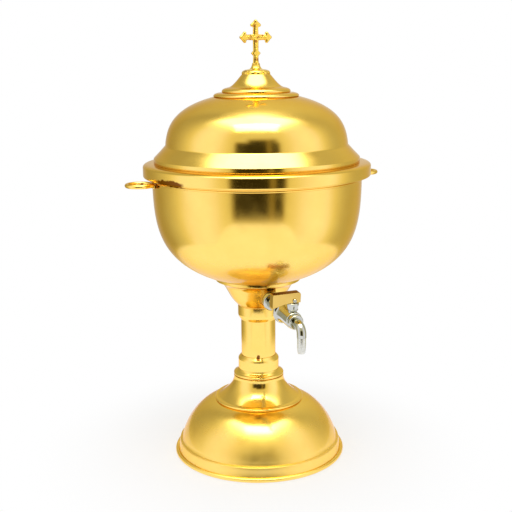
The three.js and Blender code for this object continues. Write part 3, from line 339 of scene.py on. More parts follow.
flare = (cone_flare, on_dome(cone_flare)[1] + 2 * mm)
cone_outside = [
    (tie_hole, cone_top),
    (cone_neck - 1.2 * mm, cone_top),
    *arc(cone_neck - 0.8 * mm, cone_top - 0.8 * mm, 0.8 * mm, 80, 10, 4),
    *bend((cone_neck, cone_top - 1.6 * mm), (35.5 * mm, 99 * mm), (43.5 * mm, 90 * mm), flare, 36),
]
flange_roll = 1.75 * mm
flange_level = on_dome(flange_radius - flange_roll)[1] + flange_roll
foot_cone = spun("foot_cone_spun", [
    *cone_outside,
    *arc(flange_radius - flange_roll, flange_level, flange_roll, 120, -75, 16),
    on_dome(flange_radius - 2 * flange_roll),
    on_dome(cone_flare - 1 * mm),
    *inside(cone_outside[:-1], -sheet),
])
spun_brass = polished_brass("spun_brass", brass_colour, worn_brass_colour, 0.15)
fit(foot_cone, spun_brass, "urn", "polished_brass", "foot_cone")


# Tie rod, washer and nut: zinc-plated steel under the foot. They pull the foot, ring and tube up
# against the plug in the top of the stem.
def plated_steel(name, colour):
    """Plain plated steel with turning lines and a dull, spotty plating."""
    finish, tree, shader, add = new_finish(name)
    place = add("TexCoord").outputs["Object"]
    turning = add("TexWave", {"bands_direction": "Z"}, Vector=place, Scale=220.0, Distortion=1.5)
    relief = add("Bump", Strength=0.25, Distance=0.1 * mm, Height=turning.outputs["Fac"])
    tint = mixed(add, cloudy(add, place, 260.0, 0.0, 1.0), colour, [0.7 * c for c in colour])
    wire_up(tree, shader, tint, cloudy(add, place, 90.0, 0.28, 0.5), relief)
    return finish


def dress(finish, *nodes):
    """Gives nodes that keep their own shape a finish."""
    for node in nodes:
        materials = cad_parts[node].data.materials
        materials.clear()
        materials.append(finish)


steel = plated_steel("plated_steel", (0.55, 0.55, 0.54))
dress(steel, "tie_rod", "tie_washer", "tie_nut")


# Stem: a plain drawn tube. A half-round ring and a short sleeve are slipped over its foot, and a
# collar over its top, all turned from brass and soldered. Its colour is darker in one small patch
# at the front of the sleeve's top seam.
low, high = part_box("stem_tube")
tube_radius = high[0]
stem_tube = spun("stem_tube_drawn", [
    (tube_radius - sheet, low[2]),
    (tube_radius, low[2]),
    (tube_radius, high[2]),
    (tube_radius - sheet, high[2]),
])
bore = tube_radius + 0.1 * mm

low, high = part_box("stem_ring")
ring_radius = high[0]
sleeve_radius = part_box("stem_coupling")[1][0]
stem_ring = spun("stem_ring_turned", [
    (bore, low[2]),
    *arc(ring_radius - 2.4 * mm, low[2] + 2.4 * mm, 2.4 * mm, -90, 60, 18),
    *bend((32.9 * mm, low[2] + 5.0 * mm), (31.3 * mm, low[2] + 6.9 * mm),
          (29.6 * mm, low[2] + 7.6 * mm), (sleeve_radius + 0.3 * mm, high[2]), 14),
    (bore, high[2]),
])

low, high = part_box("stem_coupling")
shoulder = high[2] - 6.4 * mm
stem_coupling = spun("stem_coupling_turned", [
    (bore, low[2]),
    (sleeve_radius, low[2]),
    *bend((sleeve_radius, shoulder), (sleeve_radius, shoulder + 2.4 * mm),
          (sleeve_radius - 1.6 * mm, shoulder + 3.4 * mm), (bore + 0.7 * mm, high[2]), 16),
    (bore, high[2]),
])
# A small dark red-brown patch at the front of the sleeve's top seam, on the side towards the
# camera.
seam_dark_patch = ((-9.4 * mm, -23.6 * mm, high[2]), (3.4 * mm, 3.4 * mm, 7.5 * mm))
stem_brass = polished_brass("stem_brass", brass_colour, worn_brass_colour, 0.15, stain=seam_dark_patch)

low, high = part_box("stem_collar")
collar_radius = high[0]
stem_collar = spun("stem_collar_turned", [
    (bore, low[2]),
    *bend((bore + 0.5 * mm, low[2]), (collar_radius - 1.8 * mm, low[2] + 3 * mm),
          (collar_radius, low[2] + 4.6 * mm), (collar_radius, low[2] + 8.2 * mm), 16),
    *arc(collar_radius - 0.8 * mm, high[2] - 0.8 * mm, 0.8 * mm, 0, 90, 6),
    (bore, high[2]),
])
for piece in (stem_tube, stem_ring, stem_coupling, stem_collar):
    fit(piece, stem_brass, "urn", "polished_brass", piece.name.rsplit("_", 1)[0])


# Neck: a funnel spun to a close at the bottom and soldered under the bowl by its lip. One side is
# bored for the tap. The turned plug below it closes the stem and takes the tie rod.
low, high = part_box("neck_funnel")
neck_lip = high[0]
neck_foot = low[2]
funnel_side = [
    (collar_radius - 1.4 * mm, neck_foot),
    *arc(collar_radius - 0.6 * mm, neck_foot + 0.8 * mm, 0.8 * mm, -70, 20, 6),
    (33.9 * mm, 220.6 * mm),
    (38.6 * mm, 227.4 * mm),
    (45.4 * mm, 240.0 * mm),
    *bend((46.0 * mm, 240.9 * mm), (48.4 * mm, 245 * mm),
          (52 * mm, 248 * mm), (57.4 * mm, 250.0 * mm), 20),
    *arc(neck_lip - 0.9 * mm, 251.1 * mm, 0.9 * mm, -70, 40, 6),
]
bowl_curve = {
    "radius": 142.05 * mm, "level": 446.3 * mm, "rise": -202.3 * mm, "side": 1.66, "crown": 5,
}


def under_bowl(radius):
    """The place under the bowl at a radius."""
    return radius, swell_height(**bowl_curve, at=radius) - solder_gap


neck_funnel = spun("neck_funnel_spun", [
    (0, neck_foot),
    *funnel_side,
    under_bowl(neck_lip - 0.6 * mm),
    under_bowl(54 * mm),
    under_bowl(47.5 * mm),
    *inside(funnel_side[8:25]),
    (collar_radius - 3.4 * mm, neck_foot + sheet),
    (0, neck_foot + sheet),
])
fit(neck_funnel, spun_brass, "urn", "polished_brass", "neck_funnel")

turned_brass = polished_brass("turned_brass", (0.66, 0.47, 0.17), (0.5, 0.34, 0.11), 0.3,
                              lines=0.35)
dress(turned_brass, "neck_plug")


# Bowl: the tank itself, spun from one disc, with a hole at the bottom that drains to the neck. Its
# polish turns hazy towards the bottom, where the wheel reaches less well.
low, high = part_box("bowl")
bowl_top = high[2]
bead_level = 392.2 * mm
bowl_hole = 44 * mm
bowl_wall = high[0]
hole_height = swell_height(**bowl_curve, at=bowl_hole)
bowl_outside = [
    (bowl_wall, bowl_top),
    *swell(**bowl_curve, start=bead_level, end=hole_height, steps=64),
]
bowl = spun("bowl_spun", [*bowl_outside, *inside(bowl_outside, -sheet)], sides=256)
bowl_brass = polished_brass("bowl_brass", brass_colour, worn_brass_colour, 0.15,
                            haze=(264 * mm, 326 * mm, 0.24))
fit(bowl, bowl_brass, "urn", "polished_brass", "bowl")


# Rim band: a broad channel folded over the mouth. It is crowned on top, stands out from the wall,
# and ends below in a fine bead soldered to the bowl. By the left handle it carries painted shade: a
# dark red-brown patch for the shaded gap at the handle's saddle.
low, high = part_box("rim_band")
rim_radius, rim_top = high[0], high[2]
mouth = 134 * mm
lid_seat = 140.8 * mm
bead = 1.5 * mm
bead_centre = bowl_wall + 0.8 * mm
rim_outside = [
    (mouth, rim_top),
    (lid_seat, rim_top),
    *bend((143.8 * mm, rim_top - 0.3 * mm), (148 * mm, rim_top - 0.6 * mm),
          (rim_radius - 0.2 * mm, rim_top - 1.2 * mm), (rim_radius, rim_top - 5 * mm), 24),
    *bend((rim_radius, 398.2 * mm), (rim_radius, 397 * mm), (rim_radius - 0.6 * mm, 396.2 * mm),
          (rim_radius - 1.8 * mm, 395.8 * mm), 8),
    (bead_centre + 1.6 * mm, bead_level + 2.2 * mm),
]
rim_band = spun("rim_band_spun", [
    *rim_outside,
    *arc(bead_centre, bead_level, bead, 50, -80, 12),
    (bowl_wall + solder_gap, bead_level - bead),
    (bowl_wall + solder_gap, bead_level + 1.6 * mm),
    *inside(rim_outside[2:-1], -sheet),
    (bowl_wall + 0.5 * mm, rim_top - sheet),
    (mouth, rim_top - sheet),
], sides=256)
# Painted shade: a dark red-brown patch on the rim by the left handle's saddle, where the gap lies
# in shade.
saddle_painted_shade = ((-142.4 * mm, -58.5 * mm, 397.6 * mm), (30 * mm, 30 * mm, 5.9 * mm))
rim_brass = polished_brass("rim_brass", brass_colour, worn_brass_colour, 0.13, stain=saddle_painted_shade)
fit(rim_band, rim_brass, "urn", "polished_brass", "rim_band")


# Ring handles: brass wire closed to a ring and soldered, by a small saddle, to the bowl just under
# the rim, so that they stand out level. Flux has left dark spots on the wire.
handle_level = 390.6 * mm
handle_wire = 2.8 * mm
loop_radius = 16.6 * mm
saddle_width = 9 * mm
saddle_height = 5 * mm
saddle_rounding = 1.2 * mm


def ring_handle(name, side):
    """A closed ring with a rounded saddle that runs back to the wall of the bowl."""
    shape = bmesh.new()
    centre = side * (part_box("ring_handle_right")[1][0] - handle_wire - loop_radius)
    rings = []
    for around in turns(72):
        ring = []
        for about in turns(24):
            reach = loop_radius + handle_wire * math.cos(about)
            ring.append(shape.verts.new((
                centre + reach * math.cos(around),
                reach * math.sin(around),
                handle_level + handle_wire * math.sin(about),
            )))
        rings.append(ring)
    join_rings(shape, rings + rings[:1])
    wall = bowl_wall + 0.2 * mm
    saddle_end = abs(centre) - loop_radius + 0.6 * mm
    slab = bmesh.ops.create_cube(shape, size=1)["verts"]
    bmesh.ops.scale(shape, verts=slab, vec=(saddle_end - wall, saddle_width, saddle_height))
    bmesh.ops.translate(shape, verts=slab, vec=(
        side * (saddle_end + wall) / 2, 0, handle_level - 0.3 * mm - saddle_height / 2))
    edges = list({edge for corner in slab for edge in corner.link_edges})
    bmesh.ops.bevel(shape, geom=edges, offset=saddle_rounding, segments=4, profile=0.5,
                    affect="EDGES")
    bmesh.ops.recalc_face_normals(shape, faces=shape.faces)
    return shape_piece(name, shape)


wire_brass = polished_brass("wire_brass", brass_colour, worn_brass_colour, 0.11,
                            lines=0.02, spots=0.9)
for name, side in (("ring_handle_left", -1), ("ring_handle_right", 1)):
    fit(ring_handle(name + "_wire", side), wire_brass, "urn", "polished_brass", name)


# Lid: a high dome spun with a sloping shoulder and an upright lip. A hoop soldered inside the lip
# drops into the mouth and keeps the lid central.
low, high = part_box("lid_dome")
lip_radius = high[0]
lip_height = 5.8 * mm
shoulder_level = 436.4 * mm
hoop_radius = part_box("lid_hoop")[1][0]
stud_hole = 2.8 * mm
lid_curve = {
    "radius": 123.9 * mm, "level": 395.4 * mm, "rise": 111.9 * mm, "side": 1.81, "crown": 4.41,
}
lid_flat = 18 * mm
lid_flat_height = swell_height(**lid_curve, at=lid_flat)
lid_side = swell(**lid_curve, start=shoulder_level + 1 * mm, end=lid_flat_height, steps=64)
lid_outside = [
    (hoop_radius + solder_gap, rim_top),
    (lip_radius - 0.5 * mm, rim_top),
    *arc(lip_radius - 0.5 * mm, rim_top + 0.5 * mm, 0.5 * mm, -90, 0, 4),
    *arc(lip_radius - 1.2 * mm, rim_top + lip_height, 1.2 * mm, 0, 50, 8),
    (130.6 * mm, 428.6 * mm),
    (lid_side[0][0] + 1.2 * mm, shoulder_level - 0.7 * mm),
    (lid_side[0][0] + 0.4 * mm, shoulder_level),
    *lid_side,
    (stud_hole, lid_flat_height),
]
lid_dome = spun("lid_dome_spun", [*lid_outside, *inside(lid_outside)], sides=256)
fit(lid_dome, spun_brass, "lid", "polished_brass", "lid_dome")

low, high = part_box("lid_hoop")
lid_hoop = spun("lid_hoop_rolled", [
    (hoop_radius - sheet, low[2]),
    *arc(hoop_radius - 0.8 * mm, low[2] + 0.8 * mm, 0.8 * mm, -150, -10, 6),
    (hoop_radius, high[2]),
    (hoop_radius - sheet, high[2]),
])
fit(lid_hoop, spun_brass, "lid", "polished_brass", "lid_hoop")


# Finial cap: a hollow-sided cone over two rounded steps, spun in one and held on the crown of the
# lid by the stud of the cross, with a washer and nut inside the lid.
low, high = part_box("finial_cap")
cap_top = high[2]
cap_neck = 19.2 * mm
cap_flare = 36 * mm
upper_step = 46.1 * mm
lower_step = high[0]


def on_lid(radius):
    """The place on the lid at a radius."""
    return radius, swell_height(**lid_curve, at=radius) + solder_gap


cap_outside = [
    (stud_hole, cap_top),
    *arc(cap_neck - 0.8 * mm, cap_top - 0.8 * mm, 0.8 * mm, 90, 10, 6),
    *bend((cap_neck, cap_top - 0.9 * mm), (24 * mm, 524 * mm),
          (29.5 * mm, 515.6 * mm), (cap_flare, 512.9 * mm), 30),
]
finial_cap = spun("finial_cap_spun", [
    *cap_outside,
    *bend((cap_flare + 0.6 * mm, 512.7 * mm), (41.5 * mm, 511.8 * mm),
          (upper_step, 510.6 * mm), (upper_step, 507 * mm), 14),
    (upper_step - 0.7 * mm, 506.3 * mm),
    *bend((upper_step - 0.4 * mm, 506.1 * mm), (52.5 * mm, 505.9 * mm),
          (lower_step - 0.1 * mm, 504.4 * mm), (lower_step, 501.2 * mm), 16),
    on_lid(lower_step - 0.8 * mm),
    on_lid(lower_step - 3 * mm),
    (lower_step - 4.4 * mm, 502.8 * mm),
    (upper_step - 1.8 * mm, 504.4 * mm),
    (upper_step - 2.6 * mm, 508.2 * mm),
    *inside(cap_outside[:-9], -sheet),
])
fit(finial_cap, spun_brass, "lid", "polished_brass", "finial_cap")
dress(steel, "cross_stud", "lid_washer", "lid_nut")


# Cross: cast in brass with bud ends, a cord of beads along its limbs, a pointed knop and a foot of
# petals. It is brushed up after casting, and screwed down on its stud.
low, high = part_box("cross")
arm = high[0]
crossing = high[2] - arm
cross_thickness = 5.2 * mm
plate_rounding = 2.2 * mm
half_width = 3.9 * mm
bud = 2.2 * mm
bud_reach = 7.4 * mm
knop_level = 556.6 * mm
knop_reach = 6.8 * mm
foot_top = 538 * mm
cord_bead = 1.2 * mm
cord_pitch = 2.7 * mm
petals = 11


def cast_brass(name, colour, dark):
    """Cast brass: low relief with its high spots polished and its hollows left dark."""
    finish, tree, shader, add = new_finish(name)
    place = add("TexCoord").outputs["Object"]
    relief = add("Bump", Strength=0.5, Distance=0.6 * mm, Height=grain(add, place, 330.0, 1.0))
    tint = mixed(add, ramp(add, grain(add, place, 210.0, 2.0), 0.55, 0.68), colour, dark)
    wire_up(tree, shader, tint, cloudy(add, place, 300.0, 0.07, 0.16), relief)
    return finish


def limb(reach, width):
    """The right half of the outline of a bud-ended limb that runs up from the crossing."""
    knob_station = reach - 7.2 * mm
    return [
        (width, width),
        (width - 0.5 * mm, knob_station - 3.6 * mm),
        *arc(bud_reach - bud, knob_station, bud, -110, 65, 12),
        *arc(0, reach - bud, bud, 15, 90, 8),
    ]


half_limb = limb(arm, half_width)
up = half_limb + [(-x, y) for x, y in half_limb[::-1] if x > 1e-6]
right_arm = [(y, -x) for x, y in up]
left_arm = [(-y, x) for x, y in up]
lower_shaft = [(width, level - crossing) for width, level in (
    (half_width - 0.3 * mm, knop_level + 3.4 * mm),
    (knop_reach, knop_level),
    (half_width - 0.4 * mm, knop_level - 3.6 * mm),
    (half_width, 545 * mm),
    (half_width + 0.8 * mm, 541 * mm),
    (half_width + 1.4 * mm, foot_top - 1.4 * mm),
)]
outline = lower_shaft[::-1] + right_arm + up + left_arm + [(-x, y) for x, y in lower_shaft]


def plate(name, outline, depth, rounding, level):
    """A flat plate in the X-Z plane with both its faces rounded off."""
    curve = bpy.data.curves.new(name, "CURVE")
    curve.dimensions = "2D"
    curve.fill_mode = "BOTH"
    curve.extrude = depth / 2 - rounding
    curve.bevel_depth = rounding
    curve.bevel_resolution = 4
    curve.offset = -rounding
    line = curve.splines.new("POLY")
    line.points.add(len(outline) - 1)
    for point, (x, y) in zip(line.points, outline):
        point.co = (x, y, 0, 1)
    line.use_cyclic_u = True
    drawn = bpy.data.objects.new(name + "_drawn", curve)
    mesh = bpy.data.meshes.new_from_object(drawn)
    mesh.transform(Matrix.Translation((0, 0, level)) @ Matrix.Rotation(math.pi / 2, 4, "X"))
    bpy.data.objects.remove(drawn)
    return mesh


def petal_foot(shape):
    """Rings that swell and dip once for each petal, from the cap up to the shaft."""
    rings = []
    for radius, height, lobe in (
        (17.4, -0.2, 0.8),
        (18.5, 0.3, 1.6),
        (18.7, 1.6, 1.3),
        (18.2, 3.0, 0.8),
        (17.0, 4.2, 0.5),
        (14.6, 5.2, 0.3),
        (11.4, 5.8, 0.1),
        (8.6, 6.4, 0.0),
        (7.0, 7.8, 0.0),
        (5.8, 10.0, 0.0),
        (4.9, 14.0, 0.0),
    ):
        ring = []
        for turn in turns(20 * petals):
            petal = abs(math.cos(petals * turn / 2)) - 0.6
            reach = (radius + lobe * petal) * mm
            level = cap_top + (height - 0.5 * lobe * petal) * mm
            ring.append(shape.verts.new((reach * math.cos(turn), reach * math.sin(turn), level)))
        rings.append(ring)
    join_rings(shape, rings)
    shape.faces.new(rings[0][::-1])
    shape.faces.new(rings[-1])


def cord(shape, start, end):
    """A row of small beads along the front and the back of a limb, between two (x, height)."""
    start, end = (Vector((x, 0, height)) for x, height in (start, end))
    count = int((end - start).length / cord_pitch)
    surface = cross_thickness / 2 - 0.3 * mm
    for i in range(count + 1):
        for face in (-1, 1):
            place = start.lerp(end, i / count) + Vector((0, face * surface, 0))
            ball = bmesh.ops.create_uvsphere(shape, u_segments=10, v_segments=6, radius=cord_bead,
                                             matrix=Matrix.Translation(place))
            bmesh.ops.scale(shape, verts=ball["verts"], vec=(1, 0.55, 1),
                            space=Matrix.Translation(-place))


shape = bmesh.new()
plate_depth = cross_thickness - 0.4 * mm
shape.from_mesh(plate("cross_plate", outline, plate_depth, plate_rounding, crossing))
petal_foot(shape)
cord_start, cord_end = 2 * mm, arm - 9 * mm
cord(shape, (cord_start, crossing), (cord_end, crossing))
cord(shape, (-cord_start, crossing), (-cord_end, crossing))
cord(shape, (0, crossing + cord_start), (0, crossing + cord_end))
cord(shape, (0, crossing), (0, knop_level + 5 * mm))
cord(shape, (0, knop_level - 5 * mm), (0, foot_top + 4 * mm))
cross = shape_piece("cross_cast", shape, 35)
cross_brass = cast_brass("cast_brass", (1.0, 0.67, 0.09), (0.42, 0.16, 0.02))
fit(cross, cross_brass, "lid", "cast_brass", "cross")


# Tap seat: a brass boss soldered to the sloping wall of the neck, a rubber seal and a chromed lock
# ring. The tap's own axis leaves the axis of the font and tips down a little.
tap_level = 235.2 * mm
tap_tilt = math.radians(6)
tap_frame = Matrix.Translation((0, 0, tap_level)) @ Matrix.Rotation(tap_tilt, 4, "X")
along_tap = tap_frame @ Matrix.Rotation(math.pi / 2, 4, "X")


def set_on_tap(piece, placing=along_tap):
    """Moves a spun piece from the axis of the font to that of the tap."""
    piece.data.transform(placing)
    return piece


def chromed(name, colour, gloss):
    """Bright chrome over polished brass, with a faint orange peel and wiping marks."""
    finish, tree, shader, add = new_finish(name)
    place = add("TexCoord").outputs["Object"]
    peel = add("Bump", Strength=0.08, Distance=0.1 * mm, Height=grain(add, place, 420.0, 1.0))
    tint = mixed(add, cloudy(add, place, 130.0, 0.0, 1.0), colour, [0.82 * c for c in colour])
    wire_up(tree, shader, tint, cloudy(add, place, 210.0, 0.5 * gloss, 1.6 * gloss), peel)
    return finish


def pressed(name, colour, worn, patches, fineness, relief, dullest, dullness):
    """A soft material pressed to shape: a fine grain under a slightly patchy colour."""
    finish, tree, shader, add = new_finish(name)
    place = add("TexCoord").outputs["Object"]
    tint = mixed(add, cloudy(add, place, patches, 0.0, 1.0), colour, worn)
    bump = add("Bump", Strength=relief, Distance=0.1 * mm, Height=grain(add, place, fineness, 3.0))
    wire_up(tree, shader, tint, cloudy(add, place, 500.0, dullest, dullness), bump, metallic=0.0)
    return finish


chrome = chromed("bright_chrome", (0.57, 0.56, 0.38), 0.09)
shank = 9.05 * mm
lock_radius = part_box("tap_lock_ring")[1][0]
neck_slope = 47.46 * mm
boss_radius = 12.6 * mm
seal_start = neck_slope / math.cos(tap_tilt) - boss_radius * math.tan(tap_tilt) + 0.3 * mm
lock_start = seal_start + 1.5 * mm
lock_end = lock_start + 6.6 * mm
lock_ring = set_on_tap(spun("tap_lock_ring_turned", [
    (shank, lock_start),
    *arc(lock_radius - 0.8 * mm, lock_start + 0.8 * mm, 0.8 * mm, -90, 0, 6),
    *arc(lock_radius - 2.2 * mm, lock_end - 2.2 * mm, 2.2 * mm, 0, 80, 12),
    (shank, lock_end),
], sides=96))
fit(lock_ring, chrome, "urn", "chrome", "tap_lock_ring")
dress(turned_brass, "tap_boss")

rubber = pressed("seal_rubber", (0.02, 0.019, 0.018), (0.05, 0.048, 0.045),
                 patches=300.0, fineness=1500.0, relief=0.3, dullest=0.6, dullness=0.85)
dress(rubber, "tap_seal")


# Tap body: a turned and chromed casting with a thin shank, a bell, and a barrel that carries an
# upright tower for the valve.
spindle_station = 118.6 * mm
tower_radius = 7 * mm
tower_top = 14.2 * mm
bell_radius = 15.4 * mm
bell_front = 94 * mm
barrel = 11.2 * mm
barrel_end = spindle_station + tower_radius + 0.4 * mm
outlet = 6.9 * mm
outlet_end = barrel_end + 3.6 * mm
waterway = 4.6 * mm
body_start = 31 * mm
tap_body = set_on_tap(spun("tap_body_turned", [
    (waterway, body_start),
    (8.2 * mm, body_start),
    (8.9 * mm, body_start + 0.8 * mm),
    (8.9 * mm, 78 * mm),
    *bend((8.9 * mm, 80 * mm), (9.6 * mm, 86.5 * mm), (11 * mm, 89.5 * mm),
          (bell_radius - 0.5 * mm, 91 * mm), 20),
    *arc(bell_radius - 1.3 * mm, bell_front - 1.6 * mm, 1.3 * mm, 30, 0, 4),
    *arc(bell_radius - 1.3 * mm, bell_front - 1.3 * mm, 1.3 * mm, 0, 80, 8),
    *bend((barrel + 2.2 * mm, bell_front + 0.8 * mm), (barrel + 1 * mm, bell_front + 1.4 * mm),
          (barrel + 0.4 * mm, bell_front + 4 * mm), (barrel, bell_front + 9 * mm), 12),
    *arc(barrel - 2 * mm, barrel_end - 2 * mm, 2 * mm, 0, 88, 10),
    (outlet, barrel_end),
    (outlet, outlet_end),
    (waterway, outlet_end),
], sides=128))
tower = spun("tap_tower", [
    (5.2 * mm, 6 * mm),
    (5.6 * mm, 6 * mm),
    *bend((5.6 * mm, 8.6 * mm), (5.6 * mm, 10.4 * mm),
          (6.2 * mm, 12 * mm), (tower_radius, 13.4 * mm), 10),
    (tower_radius, tower_top),
    (5.2 * mm, tower_top),
], sides=96)
tower.data.transform(Matrix.Translation((0, -spindle_station, 0)))
set_on_tap(tower, tap_frame)
fit(tap_body, chrome, "urn", "chrome", "tap_body")
fit(tower, chrome, "urn", "chrome", "tap_body")


# Valve: a bored brass plug on a spindle, a pressed packing ring above it, and the chromed gland nut
# that screws down on both. Only the gland and the end of the spindle show.
gland_radius = 7.8 * mm
gland_top = 23.4 * mm
gland_foot = 10 * mm
spindle = 2.9 * mm


def set_on_spindle(piece):
    """Moves a piece made at the origin to the axis of the spindle."""
    piece.data.transform(tap_frame @ Matrix.Translation((0, -spindle_station, 0)))
    return piece


gland = set_on_spindle(spun("tap_gland_turned", [
    (spindle + 0.3 * mm, gland_foot),
    (5 * mm, gland_foot),
    (5 * mm, tower_top),
    (6.6 * mm, tower_top),
    *bend((6.8 * mm, tower_top + 0.4 * mm), (6.9 * mm, 17 * mm),
          (gland_radius - 0.3 * mm, 18.6 * mm), (gland_radius, 20.6 * mm), 12),
    *arc(gland_radius - 1.2 * mm, gland_top - 1.2 * mm, 1.2 * mm, 0, 90, 10),
    (spindle + 0.3 * mm, gland_top),
], sides=96))
fit(gland, chrome, "urn", "chrome", "tap_gland")
dress(turned_brass, "tap_plug")

packing = pressed("packing_ring", (0.78, 0.76, 0.7), (0.66, 0.63, 0.56),
                  patches=400.0, fineness=1200.0, relief=0.25, dullest=0.45, dullness=0.65)
packing_ring = set_on_spindle(spun("tap_packing_pressed", [
    (spindle + 0.2 * mm, 6.2 * mm),
    *arc(4.4 * mm, 6.5 * mm, 0.3 * mm, -90, 0, 4),
    *arc(4.4 * mm, gland_foot - 0.4 * mm, 0.3 * mm, 0, 90, 4),
    (spindle + 0.2 * mm, gland_foot - 0.1 * mm),
], sides=96))
fit(packing_ring, packing, "urn", "packing", "tap_packing")


# Lever: a flat-faced wing in polished brass, deeper at its free end, that fits the square of the
# spindle. Its upward faces carry a painted reflection: dark brown for the bowl's underside mirrored
# there. A small chromed screw in its side holds it on.
lever_bottom = 23.8 * mm
lever_top = 37.4 * mm
lever_depth = 10.4 * mm
lever_reach = 30 * mm
lever_heel = 8.5 * mm
lever_drop = 5 * mm
lever_side = [
    (lever_heel, lever_bottom),
    *arc(lever_heel - 3.2 * mm, lever_top - 3.2 * mm, 3.2 * mm, 0, 90, 10),
    (-lever_reach + 1.4 * mm, lever_top - 0.4 * mm),
    *arc(-lever_reach + 1 * mm, lever_top - 1.4 * mm, 1 * mm, 90, 180, 6),
    *arc(-lever_reach + 0.8 * mm, lever_bottom - lever_drop + 0.8 * mm, 0.8 * mm, 180, 260, 5),
    (-gland_radius - 1.2 * mm, lever_bottom),
]
lever_plate = plate("tap_lever_cast", lever_side, lever_depth, 0.55 * mm, 0)
lever = set_on_spindle(mesh_piece("tap_lever_cast", lever_plate, 32))
lever_brass = polished_brass("lever_brass", (0.72, 0.48, 0.085), (0.64, 0.38, 0.05), 0.1,
                             lines=0.03)
# Painted reflection: a dark brown brass for the lever's upward faces, standing in for the bowl's
# underside mirrored there.
lever_stain = polished_brass("lever_stain", (0.12, 0.032, 0.008), (0.06, 0.016, 0.005), 0.2,
                             lines=0.03)
fit(lever, lever_brass, "lever", "polished_brass", "tap_lever")
# Faces that look up get the painted reflection; the rest keep the lever's brass.
lever.data.materials.append(lever_stain)
for face in lever.data.polygons:
    face.material_index = 1 if face.normal.z > 0.8 else 0

screw_level = lever_bottom + 3.2 * mm
screw = spun("tap_lever_screw_turned", [
    (0, lever_depth / 2 - 2 * mm),
    (1.5 * mm, lever_depth / 2 - 2 * mm),
    (1.5 * mm, lever_depth / 2),
    (2.6 * mm, lever_depth / 2),
    *arc(0, lever_depth / 2 + 0.2 * mm, 2.8 * mm, 0, 86, 12),
    (0, lever_depth / 2 + 3 * mm),
], sides=64)
screw.data.transform(Matrix.Translation((0, 0, screw_level)) @ Matrix.Rotation(math.pi / 2, 4, "X"))
fit(set_on_spindle(screw), chrome, "lever", "chrome", "tap_lever_screw")


# Spout: a chromed tube bent down over a former and held on the outlet by a union nut, with a plain
# turned nozzle soldered into its end.
spout_radius = 6.1 * mm
spout_bore = 4.8 * mm
spout_reach = 147 * mm
bend_radius = 11 * mm
spout_drop = 3.6 * mm
nut_radius = 10 * mm
nut_end = barrel_end + 6.4 * mm
nozzle_radius = 5.6 * mm
nozzle_length = 20.7 * mm
nozzle_bore = 3.7 * mm
spout_nut = set_on_tap(spun("spout_nut_turned", [
    (outlet + 0.15 * mm, barrel_end),
    *arc(nut_radius - 0.8 * mm, barrel_end + 0.8 * mm, 0.8 * mm, -90, 0, 6),
    *arc(nut_radius - 1.8 * mm, nut_end - 1.8 * mm, 1.8 * mm, 0, 80, 10),
    (spout_radius + 0.15 * mm, nut_end),
    (spout_radius + 0.15 * mm, outlet_end + 1.4 * mm),
    (outlet + 0.15 * mm, outlet_end + 1.4 * mm),
], sides=96))
fit(spout_nut, chrome, "urn", "chrome", "spout_nut")

bend_station = (spout_reach - bend_radius * (1 - math.sin(tap_tilt))) / math.cos(tap_tilt)
bend_centre = tap_frame @ Vector((0, -bend_station, 0))
bend_centre += bend_radius * Vector((0, math.sin(tap_tilt), -math.cos(tap_tilt)))
nozzle_top = bend_centre.z - spout_drop


def swept_tube(name, path, outer, inner, sides=48):
    """A tube along a list of (centre, lean). A lean of a quarter turn points straight down."""
    shape = bmesh.new()
    rings = []
    for radius, stations in ((outer, path), (inner, path[::-1])):
        for centre, lean in stations:
            ring = []
            for turn in turns(sides):
                rise = radius * math.sin(turn)
                offset = (radius * math.cos(turn), -rise * math.sin(lean), rise * math.cos(lean))
                ring.append(shape.verts.new(centre + Vector(offset)))
            rings.append(ring)
    join_rings(shape, rings + rings[:1])
    bmesh.ops.recalc_face_normals(shape, faces=shape.faces)
    return shape_piece(name, shape, 40)


path = [(tap_frame @ Vector((0, -outlet_end, 0)), tap_tilt)]
bend_steps = 20
for i in range(bend_steps + 1):
    lean = tap_tilt + (math.pi / 2 - tap_tilt) * i / bend_steps
    path.append((bend_centre + bend_radius * Vector((0, -math.sin(lean), math.cos(lean))), lean))
path.append((Vector((0, -spout_reach, nozzle_top)), math.pi / 2))
spout = swept_tube("tap_spout_bent", path, spout_radius, spout_bore)
fit(spout, chrome, "urn", "chrome", "tap_spout")

tip = nozzle_top - nozzle_length
nozzle = spun("spout_nozzle_turned", [
    (nozzle_bore, tip + 0.4 * mm),
    *arc(nozzle_radius - 1.4 * mm, tip + 0.5 * mm, 0.5 * mm, -140, -50, 6),
    *bend((nozzle_radius - 0.9 * mm, tip + 0.6 * mm), (nozzle_radius - 0.4 * mm, tip + 1.6 * mm),
          (nozzle_radius - 0.1 * mm, tip + 6 * mm), (nozzle_radius, tip + 9 * mm), 12),
    *arc(nozzle_radius - 0.4 * mm, nozzle_top - 0.4 * mm, 0.4 * mm, 0, 90, 4),
    (spout_bore - 0.15 * mm, nozzle_top),
    (spout_bore - 0.15 * mm, nozzle_top + 3 * mm),
    (nozzle_bore, nozzle_top + 3 * mm),
], sides=96)
nozzle.data.transform(Matrix.Translation((0, -spout_reach, 0)))
nozzle_chrome = chromed("nozzle_chrome", (0.74, 0.72, 0.49), 0.34)
fit(nozzle, nozzle_chrome, "urn", "chrome", "spout_nozzle")


# Floor: a pale sweep that fades to white and keeps the shadow of the font. Polished metal mirrors
# the bright table top instead, which reaches further forward than it does to the sides.
view_turn = math.radians(21.7)
towards_camera = Vector((-math.sin(view_turn), -math.cos(view_turn), 0))
to_the_side = Vector((math.cos(view_turn), -math.sin(view_turn), 0))
white = (1, 1, 1, 1)

# The four functions below add to the tree in hand: the floor's first, and the world's later.
floor_material, tree, shader, add = new_finish("pale_floor")


